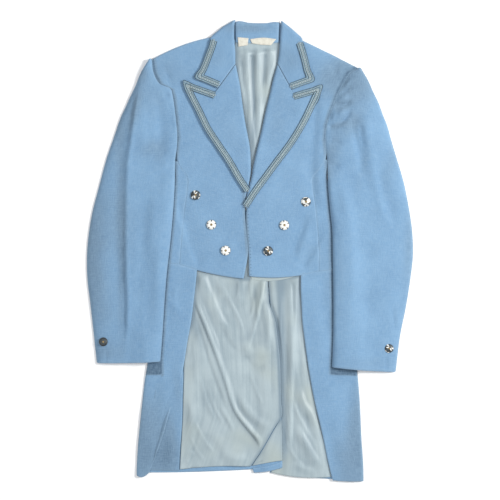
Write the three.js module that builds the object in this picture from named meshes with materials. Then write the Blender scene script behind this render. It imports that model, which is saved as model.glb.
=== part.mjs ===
import * as THREE from 'three';

// Formal tailcoat laid flat on its back, front up, sleeves down. Millimetres, +Z up from the surface it
// lies on, +Y towards the collar. Sides are the wearer's: the right lies at -X and the left at +X.
// Every piece of cloth is a closed wall through a grid: one row for each section of its table.

// Thickness of each wall
const CLOTH = 2.4;
const LINING = 1.0;
const BRAID = 1.0;
const LABEL = 0.8;
const HIDDEN_FALL = 1.5;

// Clearances between pieces
const SEAM = 0.3;
const LAYER = 0.4;
const EDGE_INSET = 1.5;

// Heights of the middle of each wall above the surface
const BACK_Z = CLOTH / 2;
const LINING_Z = CLOTH + LAYER + LINING / 2;
const FRONT_Z = 7.4;
const LAPEL_Z = FRONT_Z + CLOTH + LAYER;
const ROLL_Z = LAPEL_Z + 0.5;
const BRAID_Z = ROLL_Z + CLOTH / 2 + LAYER + BRAID / 2;
const SKIRT_Z = 5.6;
const EDGE_Z = CLOTH + SEAM + CLOTH / 2;
const NECK_LIFT = HIDDEN_FALL + SEAM;
const STAND_Z = NECK_LIFT + CLOTH + LAYER + CLOTH / 2;
const VENT_LIFT = CLOTH + LAYER + LINING + SEAM;

// Lines across the right tail where it begins to climb, and where it has climbed, over the left tail
const VENT_RAMP = [36, 20, 4];
const VENT_TOP = -62;
const VENT_FULL = -110;

// Sleeves: the under sleeve lies on the surface and climbs over the body, the top sleeve lies on it
const SLEEVE_LOFT = 3.4;
const SLEEVE_EDGE = CLOTH + SEAM + 0.15;
const SLEEVE_ROUND = 6;
const OVER_BODY_FALL = 45;
const ARMPIT_TOP = 188;
const ARMPIT_BOTTOM = 145;

// Braid, buttons
const BRAID_WIDTH = 11;
const BRAID_INSET = 1;
const BUTTON = { radius: 10, rim: 1.6, dome: 5.4, segments: 20 };
const CUFF_BUTTON_SCALE = 0.92;

const blueCloth = new THREE.MeshStandardMaterial({ color: 0x8cb2d7, roughness: 0.85, metalness: 0 });
const paleLining = new THREE.MeshStandardMaterial({ color: 0xbecdd2, roughness: 0.4, metalness: 0 });
const silverBraid = new THREE.MeshStandardMaterial({ color: 0x8ca0a0, roughness: 0.5, metalness: 0.4 });
const creamLabel = new THREE.MeshStandardMaterial({ color: 0xd8d4c4, roughness: 0.7, metalness: 0 });
const buttonMetal = new THREE.MeshStandardMaterial({ color: 0xd6d8d6, roughness: 0.3, metalness: 0.9 });

/** Turns rows of numbers into objects with named columns. */
function table(columns, rows) {
  const names = columns.split(' ');
  return rows.map((row) => Object.fromEntries(names.map((name, i) => [name, row[i]])));
}

// Section tables. inner is the edge towards the front opening or the centre back, outer the far edge.
const PANEL = 'innerX innerY outerX outerY bow z';

const FOREPART_RIGHT = table(PANEL, [
  [-14, -58, -148, -29, -4, FRONT_Z],
  [-5, 0, -145, 12, 0, FRONT_Z],
  [-10, 54, -141, 52, 0, FRONT_Z],
  [-11.5, 92, -137, 90, 0, FRONT_Z],
  [-7.5, 128, -132, 124, 0, FRONT_Z],
  [-3, 165, -131, 150, 0, FRONT_Z],
  [-4.5, 207, -151, 186, 0, FRONT_Z],
  [-10, 245, -152, 236, 0, FRONT_Z],
  [-17, 280, -155, 275, 0, FRONT_Z],
  [-23, 327, -161, 320, 0, FRONT_Z],
  [-29, 362, -166, 339, 2, FRONT_Z],
  [-37, 400, -189, 350, 4, FRONT_Z],
  [-43, 425, -202, 373, 7, FRONT_Z - 0.3],
  [-52, 450, -206, 399, 9, EDGE_Z + 1.9],
]);

const FOREPART_LEFT = table(PANEL, [
  [-1, -53, 144, -43, -7, FRONT_Z],
  [-2.5, 0, 144, 7, 0, FRONT_Z],
  [-7.5, 54, 140, 60, 0, FRONT_Z],
  [-5.5, 88, 136.5, 95, 0, FRONT_Z],
  [0.8, 128, 131, 133, 0, FRONT_Z],
  [8.8, 165, 131, 150, 0, FRONT_Z],
  [17.6, 205, 157, 190, 0, FRONT_Z],
  [28, 249, 158, 232, 0, FRONT_Z],
  [37, 291, 161, 263, 0, FRONT_Z],
  [46.5, 333, 170, 292, 0, FRONT_Z],
  [55.5, 369, 187, 334, 2, FRONT_Z],
  [64, 396, 199, 355, 3, FRONT_Z],
  [76, 425, 211, 373, 2, FRONT_Z - 0.3],
  [90, 448, 225, 382, 1, EDGE_Z + 1.9],
]);

// Outer edge of each side body, one row for each of the lowest sections of its forepart
const SIDE_RIGHT = table('outerX outerY', [
  [-198, -23], [-196, 15], [-193, 52], [-189, 88], [-178, 120], [-158.5, 142], [-157.8, 186],
]);
const SIDE_LEFT = table('outerX outerY', [
  [200, -38], [198, 10], [195, 57], [190, 95], [180, 122], [164, 142], [163, 189],
]);

const SKIRT_RIGHT = table(PANEL, [
  [-112, -38, -198, -23, 0, FRONT_Z],
  [-115, -72, -202, -62, 0, FRONT_Z - 1],
  [-119, -104, -206, -104, 0, SKIRT_Z],
  [-124, -146, -209, -146, 0, SKIRT_Z],
  [-132, -190, -211, -190, 0, SKIRT_Z],
  [-139, -234, -214, -236, 0, SKIRT_Z],
  [-146, -272, -220, -274, 0, SKIRT_Z],
  [-163, -314, -225, -318, 0, SKIRT_Z],
  [-173, -352, -229, -356, 0, SKIRT_Z],
  [-184, -390, -233, -398, 0, SKIRT_Z],
  [-196, -425, -236, -440, 0, SKIRT_Z],
  [-211, -464, -237, -471, -6, SKIRT_Z],
]);

const SKIRT_LEFT = table(PANEL, [
  [107.5, -45, 200, -38, 0, FRONT_Z],
  [107.5, -80, 205, -72, 0, FRONT_Z - 1],
  [109, -112, 209, -112, 0, SKIRT_Z],
  [111, -150, 213, -150, 0, SKIRT_Z],
  [116, -190, 217, -190, 0, SKIRT_Z],
  [122, -234, 222, -236, 0, SKIRT_Z],
  [128, -272, 226, -276, 0, SKIRT_Z],
  [136, -314, 229, -318, 0, SKIRT_Z],
  [146, -356, 231, -358, 0, SKIRT_Z],
  [156, -400, 233, -402, 0, SKIRT_Z],
  [164, -440, 236, -444, 0, SKIRT_Z],
  [174, -481, 237, -483, -1, SKIRT_Z],
]);

const BACK_RIGHT = table(PANEL, [
  [68, -455, -236, -466, -3, BACK_Z],
  [67, -400, -233, -410, 0, BACK_Z],
  [65, -356, -229, -356, 0, BACK_Z],
  [64, -300, -222, -300, 0, BACK_Z],
  [63, -240, -214, -240, 0, BACK_Z],
  [58, -190, -211, -190, 0, BACK_Z],
  [52, -146, -209, -146, 0, BACK_Z],
  [40, -110, -206, -110, 0, BACK_Z],
  [39, -86, -204, -86, 0, BACK_Z],
  [38, -62, -201, -62, 0, BACK_Z],
  [37, -20, -198, -20, 0, BACK_Z],
  [35.5, 30, -195, 30, 0, BACK_Z],
  [33, 88, -189, 88, 0, BACK_Z],
  [31, 125, -175, 121, 0, BACK_Z],
  [30, 150, -157.5, 146, 0, BACK_Z],
  [28, 190, -156.8, 187, 0, BACK_Z],
  [26, 236, -151.2, 236, 0, BACK_Z],
  [24, 285, -154, 275, 0, BACK_Z],
  [21, 325, -159.5, 318, 0, BACK_Z],
  [18, 352, -163.5, 338, 0, BACK_Z],
  [17, 380, -187, 351, 6, BACK_Z],
  [16, 410, -200.5, 372, 14, BACK_Z],
  [14, 436, -204, 397, 22, BACK_Z],
]);

const BACK_LEFT = table(PANEL, [
  [42, -466, 236, -481, -4, BACK_Z],
  [42, -430, 235, -440, 0, BACK_Z],
  [41, -400, 233, -402, 0, BACK_Z],
  [40, -356, 231, -358, 0, BACK_Z],
  [40, -300, 228, -304, 0, BACK_Z],
  [40, -240, 222, -240, 0, BACK_Z],
  [40, -190, 217, -190, 0, BACK_Z],
  [41, -146, 213, -148, 0, BACK_Z],
  [40.5, -110, 209, -110, 0, BACK_Z],
  [38.4, -62, 204, -66, 0, BACK_Z],
  [37.4, -20, 200, -30, 0, BACK_Z],
  [35.9, 30, 197, 20, 0, BACK_Z],
  [33.4, 88, 190, 90, 0, BACK_Z],
  [31.4, 125, 177, 122, 0, BACK_Z],
  [30.4, 150, 163, 146, 0, BACK_Z],
  [28.4, 190, 162, 189, 0, BACK_Z],
  [26.4, 236, 157, 232, 0, BACK_Z],
  [24.4, 285, 160, 262, 4, BACK_Z],
  [21.4, 325, 168, 292, 4, BACK_Z],
  [18.4, 352, 184.5, 334, 4, BACK_Z],
  [17.4, 380, 197, 355.5, 8, BACK_Z],
  [16.4, 410, 209.5, 374, 14, BACK_Z],
  [14.4, 436, 222.5, 381.5, 22, BACK_Z],
]);

const SLEEVE = 'innerX innerY outerX outerY bow free';

// free is 0 where the inner edge is sewn into the armhole and 1 where it is the folded edge of the tube
const SLEEVE_RIGHT = table(SLEEVE, [
  [-206.6, 399, -212, 400, 0, 0],
  [-202.8, 372.6, -229, 371, 0, 0],
  [-189.8, 349.2, -239, 345, 0, 0],
  [-167, 338.2, -250, 322, 0, 0],
  [-161.7, 320, -258, 304, 0, 0],
  [-155.7, 275, -270, 278, 0, 0],
  [-152.7, 236, -283, 240, 0, 0],
  [-158.6, 188, -300, 190, 0, 0],
  [-159.2, 142, -314, 138, 0, 1],
  [-163, 75, -330, 75, 0, 1],
  [-169, 12, -339, 12, 0, 1],
  [-176, -51, -340, -51, 0, 1],
  [-181, -114, -333, -114, 0, 1],
  [-185, -177, -326, -177, 0, 1],
  [-189, -231, -320, -234, -1, 1],
]);

const SLEEVE_LEFT = table(SLEEVE, [
  [225.6, 381, 233, 380, 0, 0],
  [211.7, 372.2, 246, 358, 0, 0],
  [199.8, 354.5, 256, 335, 0, 0],
  [187.9, 333.5, 267, 312, 0, 0],
  [170.7, 292.2, 277, 285, 0, 0],
  [161.7, 263, 286, 262, 0, 0],
  [158.7, 232, 295, 230, 0, 0],
  [163.8, 189, 307, 190, 0, 0],
  [164.8, 142, 320, 146, 0, 1],
  [169, 89, 331, 92, 0, 1],
  [174, 40, 338.5, 40, 0, 1],
  [175, -12, 340, -12, 0, 1],
  [176, -64, 334, -64, 0, 1],
  [176.5, -120, 325, -120, 0, 1],
  [176, -180, 313, -180, 0, 1],
  [173.5, -243, 304, -253, -1, 1],
]);

// Turned-back pieces: inner is the roll, outer the free edge, mid a corner between them
const TURNED = 'innerX innerY midX midY outerX outerY z';

const LAPEL_RIGHT = table(TURNED, [
  [-5.5, 129, -8, 126, -11, 122, LAPEL_Z],
  [0, 160, -14, 154, -28, 148, LAPEL_Z],
  [0.6, 185, -24, 184.5, -49, 184, LAPEL_Z],
  [-0.6, 210, -36, 213, -71, 217, LAPEL_Z],
  [-4.5, 235, -49.5, 244, -94.5, 253, LAPEL_Z],
  [-10.5, 265, -62, 278, -113, 291, LAPEL_Z],
  [-16, 300, -72, 306, -131, 326.5, LAPEL_Z],
  [-22, 345, -75, 320, -138, 343, LAPEL_Z],
  [-30.5, 388, -72, 331, -140, 355, LAPEL_Z],
]);

const LAPEL_LEFT = table(TURNED, [
  [-8.5, 90, -6, 90, -3.5, 90, LAPEL_Z],
  [-5.2, 119, 4.6, 118.5, 14.5, 118, LAPEL_Z],
  [3.5, 150, 20, 150, 38, 150, LAPEL_Z],
  [9, 182, 36, 183, 63, 184, LAPEL_Z],
  [17, 217, 51, 215, 85, 213, LAPEL_Z],
  [25.5, 252, 64, 246, 103, 240, LAPEL_Z],
  [34, 292, 76, 280, 119, 268, LAPEL_Z],
  [43, 330, 86, 306, 134, 299, LAPEL_Z],
  [50, 360, 93, 319, 147, 327, LAPEL_Z],
  [57.5, 388, 90.5, 328.5, 151, 346, LAPEL_Z],
]);

const COLLAR_RIGHT = table(TURNED, [
  [-31.5, 391, -68, 341, -114, 360, LAPEL_Z],
  [-32, 421, -66, 392, -103, 383, LAPEL_Z],
  [-34, 444, -62, 424, -92, 411, LAPEL_Z],
  [-34, 463, -59, 446, -85, 430, LAPEL_Z],
  [-33.5, 474, -58, 460, -82, 441, LAPEL_Z],
  [-32.5, 480, -57, 465.5, -80.5, 446, LAPEL_Z - 0.7],
  [-31.5, 483, -55.5, 469.5, -78, 451, EDGE_Z + 1.2],
]);

const COLLAR_LEFT = table(TURNED, [
  [58.5, 392, 88, 337.5, 133, 354, LAPEL_Z],
  [62, 415, 94, 388, 126, 379, LAPEL_Z],
  [64, 440, 92, 420, 120, 404, LAPEL_Z],
  [65, 458, 90, 441, 114, 424, LAPEL_Z],
  [66, 472, 88, 454, 110, 436, LAPEL_Z],
  [66, 478, 87.5, 460, 108.5, 442, LAPEL_Z - 0.7],
  [65.5, 481, 86.5, 464.5, 105.5, 447.5, EDGE_Z + 1.2],
]);

// Hidden fall of the collar behind the neck, one row for each station across
const COLLAR_BACK = table('topX topY lowX lowY', [
  [-78, 441, -84, 404], [-62, 458, -64, 404], [-44, 472, -44, 405], [-28, 479, -26, 405],
  [15, 472, 15, 404], [62, 476, 60, 405], [82, 459, 84, 404], [104, 441, 108, 402],
]);

const COLLAR_STAND = table('lowX lowY topX topY', [
  [-27, 438, -28, 477], [-12, 437.5, -12, 475.5], [15, 437, 15, 474],
  [42, 437.5, 42, 474.5], [58, 438, 59, 475.5],
]);

// Linings: left and right ends of each section
const SPAN = 'leftX leftY rightX rightY bow';

const LINING_NECK = table(SPAN, [
  [-26, 84, 14, 84, 0],
  [-26, 125, 20, 125, 0],
  [-26, 165, 31, 165, 0],
  [-30, 207, 42, 207, 0],
  [-36, 250, 52, 250, 0],
  [-42, 300, 62, 300, 0],
  [-48, 350, 74, 350, 0],
  [-45, 395, 74, 395, 0],
  [-36, 420, 68, 422, 0],
  [-30, 437, 61, 437, -1.5],
]);

const LINING_TAIL_RIGHT = table(SPAN, [
  [-142, -8, 36, -8, 0],
  [-142, -35, 36.8, -35, 0],
  [-142, -62, 37.7, -62, 0],
  [-142, -86, 38.7, -86, 0],
  [-141, -110, 40.5, -110, 0],
  [-140, -146, 52.5, -146, 0],
  [-139, -190, 58.5, -190, 0],
  [-139, -240, 63.5, -240, 0],
  [-139, -280, 64.5, -280, 0],
  [-140, -316, 65, -316, 0],
  [-141, -352, 65.5, -350, 0],
  [-142, -371, 51.5, -371, 0],
  [-143, -390, 40.5, -390, 0],
  [-144, -406, 31.5, -406, 0],
  [-145, -426, 19.5, -426, 0],
  [-147, -459, 1, -453, 3],
]);

const LINING_VENT_CORNER = table(SPAN, [
  [63.5, -354, 66, -354, 0],
  [50, -376, 66.5, -374, 0],
  [37.5, -398, 67, -392, 0],
  [29, -413, 67.5, -408, 0],
  [3.5, -452, 68, -440, 1],
]);

const LINING_TAIL_LEFT = table(SPAN, [
  [37.5, -8, 130, -8, 0],
  [38, -40, 131, -40, 0],
  [39.2, -72, 133, -72, 0],
  [42, -110, 135, -110, 0],
  [44, -146, 138, -146, 0],
  [44, -190, 142, -190, 0],
  [44, -240, 148, -240, 0],
  [44, -290, 157, -290, 0],
  [44, -340, 168, -340, 0],
  [44, -385, 178, -385, 0],
  [44, -430, 188, -430, 0],
  [45, -466, 178, -474, -6],
]);

const LINING_FRONT_LEFT = table(SPAN, [
  [2, -46, 104, -36, 0],
  [2, -55, 104, -47, -6],
  [3, -62, 104, -51, -7],
]);

const TAIL_FACING_RIGHT = table(SPAN, [
  [-190, -232, -140.5, -232, 0],
  [-196, -272, -140, -272, 0],
  [-202, -316, -141, -316, 0],
  [-206, -352, -142, -352, 0],
  [-211, -390, -144, -390, 0],
  [-215, -425, -146, -425, 0],
  [-218, -461, -148, -462, 0],
]);

const HEM_TURNUP_RIGHT = table(SPAN, [
  [4, -456, 67, -442, -3],
  [8, -466, 66, -456, -2],
]);

const NECK_LABEL = table(SPAN, [
  [4, 434, 44, 430, -1],
  [0, 443, 55, 443, 3],
]);

const NECK_TAB = table(SPAN, [
  [-24, 427, -5, 430, 0],
  [-26, 447, -3, 445, 0],
]);

// Buttons: centre of each
const FRONT_BUTTONS = table('x y', [[-114, 116], [-81, 54], [-51, 0], [117, 102], [72, 53], [38, -1]]);
const CUFF_BUTTONS = { right: { x: -307, y: -191 }, left: { x: 291, y: -205 } };

// Helpers

const lerp = THREE.MathUtils.lerp;
const smooth = THREE.MathUtils.smoothstep;

/** Shares of the way across, closer together at both edges. */
function edgeWeighted(count) {
  return Array.from({ length: count }, (_, i) => 0.5 - 0.5 * Math.cos((Math.PI * i) / (count - 1)));
}

/** Shares of the way across, evenly spaced. */
function even(count) {
  return Array.from({ length: count }, (_, i) => i / (count - 1));
}

/** Point at share u of a section from one end to the other, bent by bow at its middle. */
function acrossBow(ax, ay, bx, by, bow, u) {
  return { x: lerp(ax, bx, u), y: lerp(ay, by, u) + bow * 4 * u * (1 - u) };
}

/** Straight ramp from 0 at start to 1 at end. */
function ramp(value, start, end) {
  return THREE.MathUtils.clamp((value - start) / (end - start), 0, 1);
}

/** Height of the right tail's vent edge over the left tail, which it lies on. */
function ventLift(x, y) {
  return VENT_LIFT * ramp(x, VENT_RAMP[2], VENT_RAMP[0]) * ramp(y, VENT_TOP, VENT_FULL);
}

/** Height of the neck over the hidden fall of the collar; early lets a layer above rise before it. */
function neckLift(y, early = 0) {
  return NECK_LIFT * ramp(y + early, 352, 410);
}

/** Value of a column at y, from the row ends of a table listed in order of y. */
function columnAt(points, y) {
  const rising = points[points.length - 1].y > points[0].y ? points : [...points].reverse();
  if (y <= rising[0].y) return rising[0].x;
  for (let i = 1; i < rising.length; i += 1) {
    const [low, high] = [rising[i - 1], rising[i]];
    if (y <= high.y) return lerp(low.x, high.x, (y - low.y) / (high.y - low.y));
  }
  return rising[rising.length - 1].x;
}

/** Shares of the way from one end to the other with a column on each break, then evenly spaced columns. */
function brokenShares(from, to, breaks, count) {
  const shares = [0];
  for (const at of breaks) {
    const share = (at - from) / (to - from);
    shares.push(THREE.MathUtils.clamp(share, shares[shares.length - 1] + 0.03, 0.9));
  }
  const start = shares[shares.length - 1];
  for (let i = 1; i <= count; i += 1) shares.push(lerp(start, 1, i / count));
  return shares;
}

/** Grid of a panel: each section crossed at the given shares, height from a function of x, y, u and row. */
function panelGrid(sections, shares, height) {
  const sharesOf = typeof shares === 'function' ? shares : () => shares;
  return sections.map((row) => sharesOf(row).map((u) => {
    const p = acrossBow(row.innerX, row.innerY, row.outerX, row.outerY, row.bow, u);
    return new THREE.Vector3(p.x, p.y, height(p.x, p.y, u, row));
  }));
}

/** Grid of a lining or a small flat piece between its left and right ends. */
function spanGrid(sections, shares, height) {
  const sharesOf = typeof shares === 'function' ? shares : () => shares;
  return sections.map((row) => sharesOf(row).map((u) => {
    const p = acrossBow(row.rightX, row.rightY, row.leftX, row.leftY, row.bow, u);
    return new THREE.Vector3(p.x, p.y, height(p.x, p.y, u, row));
  }));
}

/** Unit normals of a grid's surface, pointing up. */
function gridNormals(grid) {
  const last = [grid.length - 1, grid[0].length - 1];
  return grid.map((row, i) => row.map((_, j) => {
    const along = grid[Math.min(i + 1, last[0])][j].clone().sub(grid[Math.max(i - 1, 0)][j]);
    const across = grid[i][Math.min(j + 1, last[1])].clone().sub(grid[i][Math.max(j - 1, 0)]);
    const normal = along.cross(across).normalize();
    return normal.z < 0 ? normal.negate() : normal;
  }));
}

/** Adds the quad a b c d as two triangles, cut along its longer diagonal. */
function addQuad(index, points, a, b, c, d) {
  const cutAC = points[a].distanceToSquared(points[c]) >= points[b].distanceToSquared(points[d]);
  index.push(...(cutAC ? [a, b, c, a, c, d] : [a, b, d, b, c, d]));
}

/** Closed wall of one thickness about a grid's surface. */
function wallGeometry(grid, thickness) {
  const rows = grid.length;
  const columns = grid[0].length;
  const normals = gridNormals(grid);
  const side = (sign) => grid.flatMap((row, i) => row.map(
    (point, j) => point.clone().addScaledVector(normals[i][j], (sign * thickness) / 2)));
  const points = [...side(1), ...side(-1)];
  const at = (i, j, under) => i * columns + j + (under ? rows * columns : 0);
  const index = [];
  for (let i = 0; i < rows - 1; i += 1) {
    for (let j = 0; j < columns - 1; j += 1) {
      addQuad(index, points, at(i, j), at(i, j + 1), at(i + 1, j + 1), at(i + 1, j));
      addQuad(index, points, at(i, j, true), at(i + 1, j, true), at(i + 1, j + 1, true), at(i, j + 1, true));
    }
  }
  for (let i = 0; i < rows - 1; i += 1) {
    const end = columns - 1;
    addQuad(index, points, at(i, 0), at(i + 1, 0), at(i + 1, 0, true), at(i, 0, true));
    addQuad(index, points, at(i, end), at(i, end, true), at(i + 1, end, true), at(i + 1, end));
  }
  for (let j = 0; j < columns - 1; j += 1) {
    const end = rows - 1;
    addQuad(index, points, at(0, j), at(0, j, true), at(0, j + 1, true), at(0, j + 1));
    addQuad(index, points, at(end, j), at(end, j + 1), at(end, j + 1, true), at(end, j, true));
  }
  const geometry = new THREE.BufferGeometry();
  const places = points.flatMap((point) => point.toArray());
  geometry.setAttribute('position', new THREE.Float32BufferAttribute(places, 3));
  geometry.setIndex(facesOut(points, index) ? index : index.reverse());
  geometry.computeVertexNormals();
  return geometry;
}

/** True when the signed volume of a closed shape is positive. */
function facesOut(points, index) {
  let volume = 0;
  for (let i = 0; i < index.length; i += 3) {
    const [a, b, c] = [points[index[i]], points[index[i + 1]], points[index[i + 2]]];
    volume += a.dot(b.clone().cross(c));
  }
  return volume > 0;
}

const coat = new THREE.Group();

function addMesh(name, geometry, material) {
  const mesh = new THREE.Mesh(geometry, material);
  mesh.name = name;
  coat.add(mesh);
  return mesh;
}

function addWall(name, grid, thickness, material) {
  return addMesh(name, wallGeometry(grid, thickness), material);
}

// Body

const bodyShares = edgeWeighted(7);

/** Forepart grid: level, with its shoulder dropped to the back. */
function forepartGrid(sections) {
  return panelGrid(sections, bodyShares, (x, y, u, row) => row.z);
}

/** Side body grid: from the forepart's side seam out to the fold, where it drops to the back. */
function sideGrid(forepart, outerEdge, side) {
  return outerEdge.map((edge, i) => {
    const seam = forepart[i][bodyShares.length - 1];
    const drop = i < 5 ? FRONT_Z - EDGE_Z : 0;
    return edgeWeighted(6).map((u) => new THREE.Vector3(
      lerp(seam.x + side * SEAM, edge.outerX, u), lerp(seam.y, edge.outerY, u), FRONT_Z - drop * u ** 5));
  });
}

/** Skirt grid: hangs from the waist seam, which gives its top edge. */
function skirtGrid(sections, waist) {
  const grid = panelGrid(sections, bodyShares, (x, y, u, row) => lerp(row.z, EDGE_Z, u ** 5));
  const seam = waist.map((p) => ({ x: p.y, y: p.x }));
  for (const point of grid[0]) point.y = columnAt(seam, point.x) - SEAM - 0.1;
  return grid;
}

/** Edge of a forepart and its side body along the waist, from the front to the side fold. */
function waistEdge(forepart, side) {
  return [...forepart[0], ...side[0].slice(1)];
}

const body = {
  right: { forepart: forepartGrid(FOREPART_RIGHT), side: -1 },
  left: { forepart: forepartGrid(FOREPART_LEFT), side: 1 },
};
body.right.sideBody = sideGrid(body.right.forepart, SIDE_RIGHT, -1);
body.left.sideBody = sideGrid(body.left.forepart, SIDE_LEFT, 1);
body.right.skirt = skirtGrid(SKIRT_RIGHT, waistEdge(body.right.forepart, body.right.sideBody));
body.left.skirt = skirtGrid(SKIRT_LEFT, waistEdge(body.left.forepart, body.left.sideBody));

for (const [name, part] of Object.entries(body)) {
  addWall(`forepart_${name}`, part.forepart, CLOTH, blueCloth);
  addWall(`side_${name}`, part.sideBody, CLOTH, blueCloth);
  addWall(`skirt_${name}`, part.skirt, CLOTH, blueCloth);
}

const backShares = (row) => brokenShares(row.innerX, row.outerX, VENT_RAMP, 4);
const backRight = panelGrid(BACK_RIGHT, backShares, (x, y, u, row) => row.z + ventLift(x, y) + neckLift(y));
const backLeft = panelGrid(BACK_LEFT, even(6), (x, y, u, row) => row.z + neckLift(y));
addWall('back_right', backRight, CLOTH, blueCloth);
addWall('back_left', backLeft, CLOTH, blueCloth);

// Sleeves

/** Outer edge of the body under a sleeve, as points in order of y. */
function bodyEdge(sideBody, skirt) {
  const lastOf = (row) => row[row.length - 1];
  return [...skirt.map(lastOf).reverse(), ...sideBody.slice(1).map(lastOf)];
}

/** Height of the middle of the under sleeve: on the surface, and over the body where that lies under it. */
function underSleeveHeight(edge) {
  return (x, y) => {
    const outside = Math.abs(x) - Math.abs(columnAt(edge, y));
    const overBody = 1 - smooth(outside, -4, OVER_BODY_FALL);
    const belowArmpit = 1 - smooth(y, ARMPIT_BOTTOM, ARMPIT_TOP);
    const bodyTop = lerp(SKIRT_Z, FRONT_Z, smooth(y, -100, -40)) + CLOTH / 2;
    return CLOTH / 2 + overBody * belowArmpit * (bodyTop + LAYER);
  };
}

/** Roundness of the sleeve's edges: 0 at a folded edge, 1 on its flat top. */
function sleeveCrown(u, free) {
  const fall = Math.abs(2 * u - 1) ** SLEEVE_ROUND;
  return u < 0.5 ? 1 - free * fall : 1 - fall;
}

function addSleeve(name, sections, edge) {
  const under = underSleeveHeight(edge);
  const side = Math.sign(sections[0].innerX);
  const top = panelGrid(sections, edgeWeighted(11), (x, y, u, row) => (
    under(x, y) + SLEEVE_EDGE + SLEEVE_LOFT * sleeveCrown(u, row.free)));
  const inset = sections.map((row) => ({
    ...row,
    innerX: row.innerX + side * EDGE_INSET * row.free,
    outerX: row.outerX - side * EDGE_INSET,
  }));
  const below = panelGrid(inset, edgeWeighted(8), (x, y) => under(x, y));
  addWall(`topsleeve_${name}`, top, CLOTH, blueCloth);
  addWall(`undersleeve_${name}`, below, CLOTH, blueCloth);
  return top;
}

addSleeve('right', SLEEVE_RIGHT, bodyEdge(body.right.sideBody, body.right.skirt));
addSleeve('left', SLEEVE_LEFT, bodyEdge(body.left.sideBody, body.left.skirt));

// Lapels and collar

// Distance from the roll and height above the flat part of each column near the roll
const ROLL = table('distance rise', [[0, -2.4], [1.6, 0.1], [5, 0.5]]);

/** Turned-back grid: rolled at its inner edge, with a corner at mid. */
function turnedGrid(sections, flatCount) {
  return sections.map((row) => {
    const inner = new THREE.Vector2(row.innerX, row.innerY);
    const mid = new THREE.Vector2(row.midX, row.midY);
    const outer = new THREE.Vector2(row.outerX, row.outerY);
    const [toMid, toOuter] = [inner.distanceTo(mid), mid.distanceTo(outer)];
    const near = Math.min(1, (toMid + toOuter) / 14);
    const rolled = ROLL.map((step) => {
      const point = inner.clone().lerp(mid, Math.min(0.5, (near * step.distance) / toMid));
      return new THREE.Vector3(point.x, point.y, row.z + step.rise);
    });
    const start = rolled[rolled.length - 1];
    const inward = [0.5, 1].map((u) => new THREE.Vector3(
      lerp(start.x, mid.x, u), lerp(start.y, mid.y, u), row.z));
    const outward = even(flatCount).slice(1).map((u) => new THREE.Vector3(
      lerp(mid.x, outer.x, u), lerp(mid.y, outer.y, u), row.z));
    return [...rolled, ...inward, ...outward];
  });
}

addWall('lapel_right', turnedGrid(LAPEL_RIGHT, 4), CLOTH, blueCloth);
addWall('lapel_left', turnedGrid(LAPEL_LEFT, 4), CLOTH, blueCloth);
addWall('collar_right', turnedGrid(COLLAR_RIGHT, 4), CLOTH, blueCloth);
addWall('collar_left', turnedGrid(COLLAR_LEFT, 4), CLOTH, blueCloth);

addWall('collar_back', COLLAR_BACK.map((row) => [0, 0.5, 1].map((u) => new THREE.Vector3(
  lerp(row.topX, row.lowX, u), lerp(row.topY, row.lowY, u), HIDDEN_FALL / 2))), HIDDEN_FALL, blueCloth);
addWall('collar_stand', COLLAR_STAND.map((row) => even(4).map((u) => new THREE.Vector3(
  lerp(row.lowX, row.topX, u), lerp(row.lowY, row.topY, u), STAND_Z))), CLOTH, blueCloth);

// Linings and small flat pieces

const level = (z) => () => z;
const ventShares = (count) => (row) => brokenShares(row.rightX, row.leftX, VENT_RAMP, count);
const onVent = (x, y) => LINING_Z + ventLift(x, y);
addWall('lining_neck', spanGrid(LINING_NECK, even(9), (x, y) => LINING_Z + neckLift(y, 12)),
  LINING, paleLining);
addWall('lining_tail_right', spanGrid(LINING_TAIL_RIGHT, ventShares(8), onVent), LINING, paleLining);
addWall('lining_vent_corner', spanGrid(LINING_VENT_CORNER, ventShares(1), onVent), LINING, paleLining);
addWall('lining_tail_left', spanGrid(LINING_TAIL_LEFT, even(9), level(LINING_Z)), LINING, paleLining);
addWall('lining_front_left', spanGrid(LINING_FRONT_LEFT, even(7), level(LINING_Z + LINING + LAYER)),
  LINING, paleLining);
addWall('tail_facing_right', spanGrid(TAIL_FACING_RIGHT, even(3), level(LINING_Z)), LINING, blueCloth);
addWall('hem_turnup_right', spanGrid(HEM_TURNUP_RIGHT, ventShares(1), onVent), LINING, blueCloth);
addWall('neck_label', spanGrid(NECK_LABEL, even(3), level(STAND_Z + CLOTH / 2 + LAYER + LABEL / 2)),
  LABEL, creamLabel);
addWall('neck_tab', spanGrid(NECK_TAB, even(3), level(STAND_Z + CLOTH / 2 + LAYER + LABEL / 2)),
  LABEL, creamLabel);

// Braid: a strip just inside the free edge of each lapel and collar leaf

/** Strip along a path, from its edge inwards, mitred at corners; turn is +1 or -1 for its side. */
function stripGrid(path, turn) {
  const last = path.length - 1;
  const direction = (a, b) => new THREE.Vector2(b.x - a.x, b.y - a.y).normalize();
  return path.map((point, i) => {
    const before = direction(path[Math.max(i - 1, 0)], path[Math.max(i, 1)]);
    const after = direction(path[Math.min(i, last - 1)], path[Math.min(i + 1, last)]);
    const middle = before.clone().add(after).normalize();
    const normal = new THREE.Vector2(-middle.y * turn, middle.x * turn);
    const reach = 1 / Math.max(0.35, middle.dot(after));
    return [0, BRAID_WIDTH / 2, BRAID_WIDTH].map((share) => {
      const inwards = normal.clone().multiplyScalar((BRAID_INSET + share) * reach);
      return new THREE.Vector3(point.x + inwards.x, point.y + inwards.y, point.z);
    });
  });
}

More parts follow.
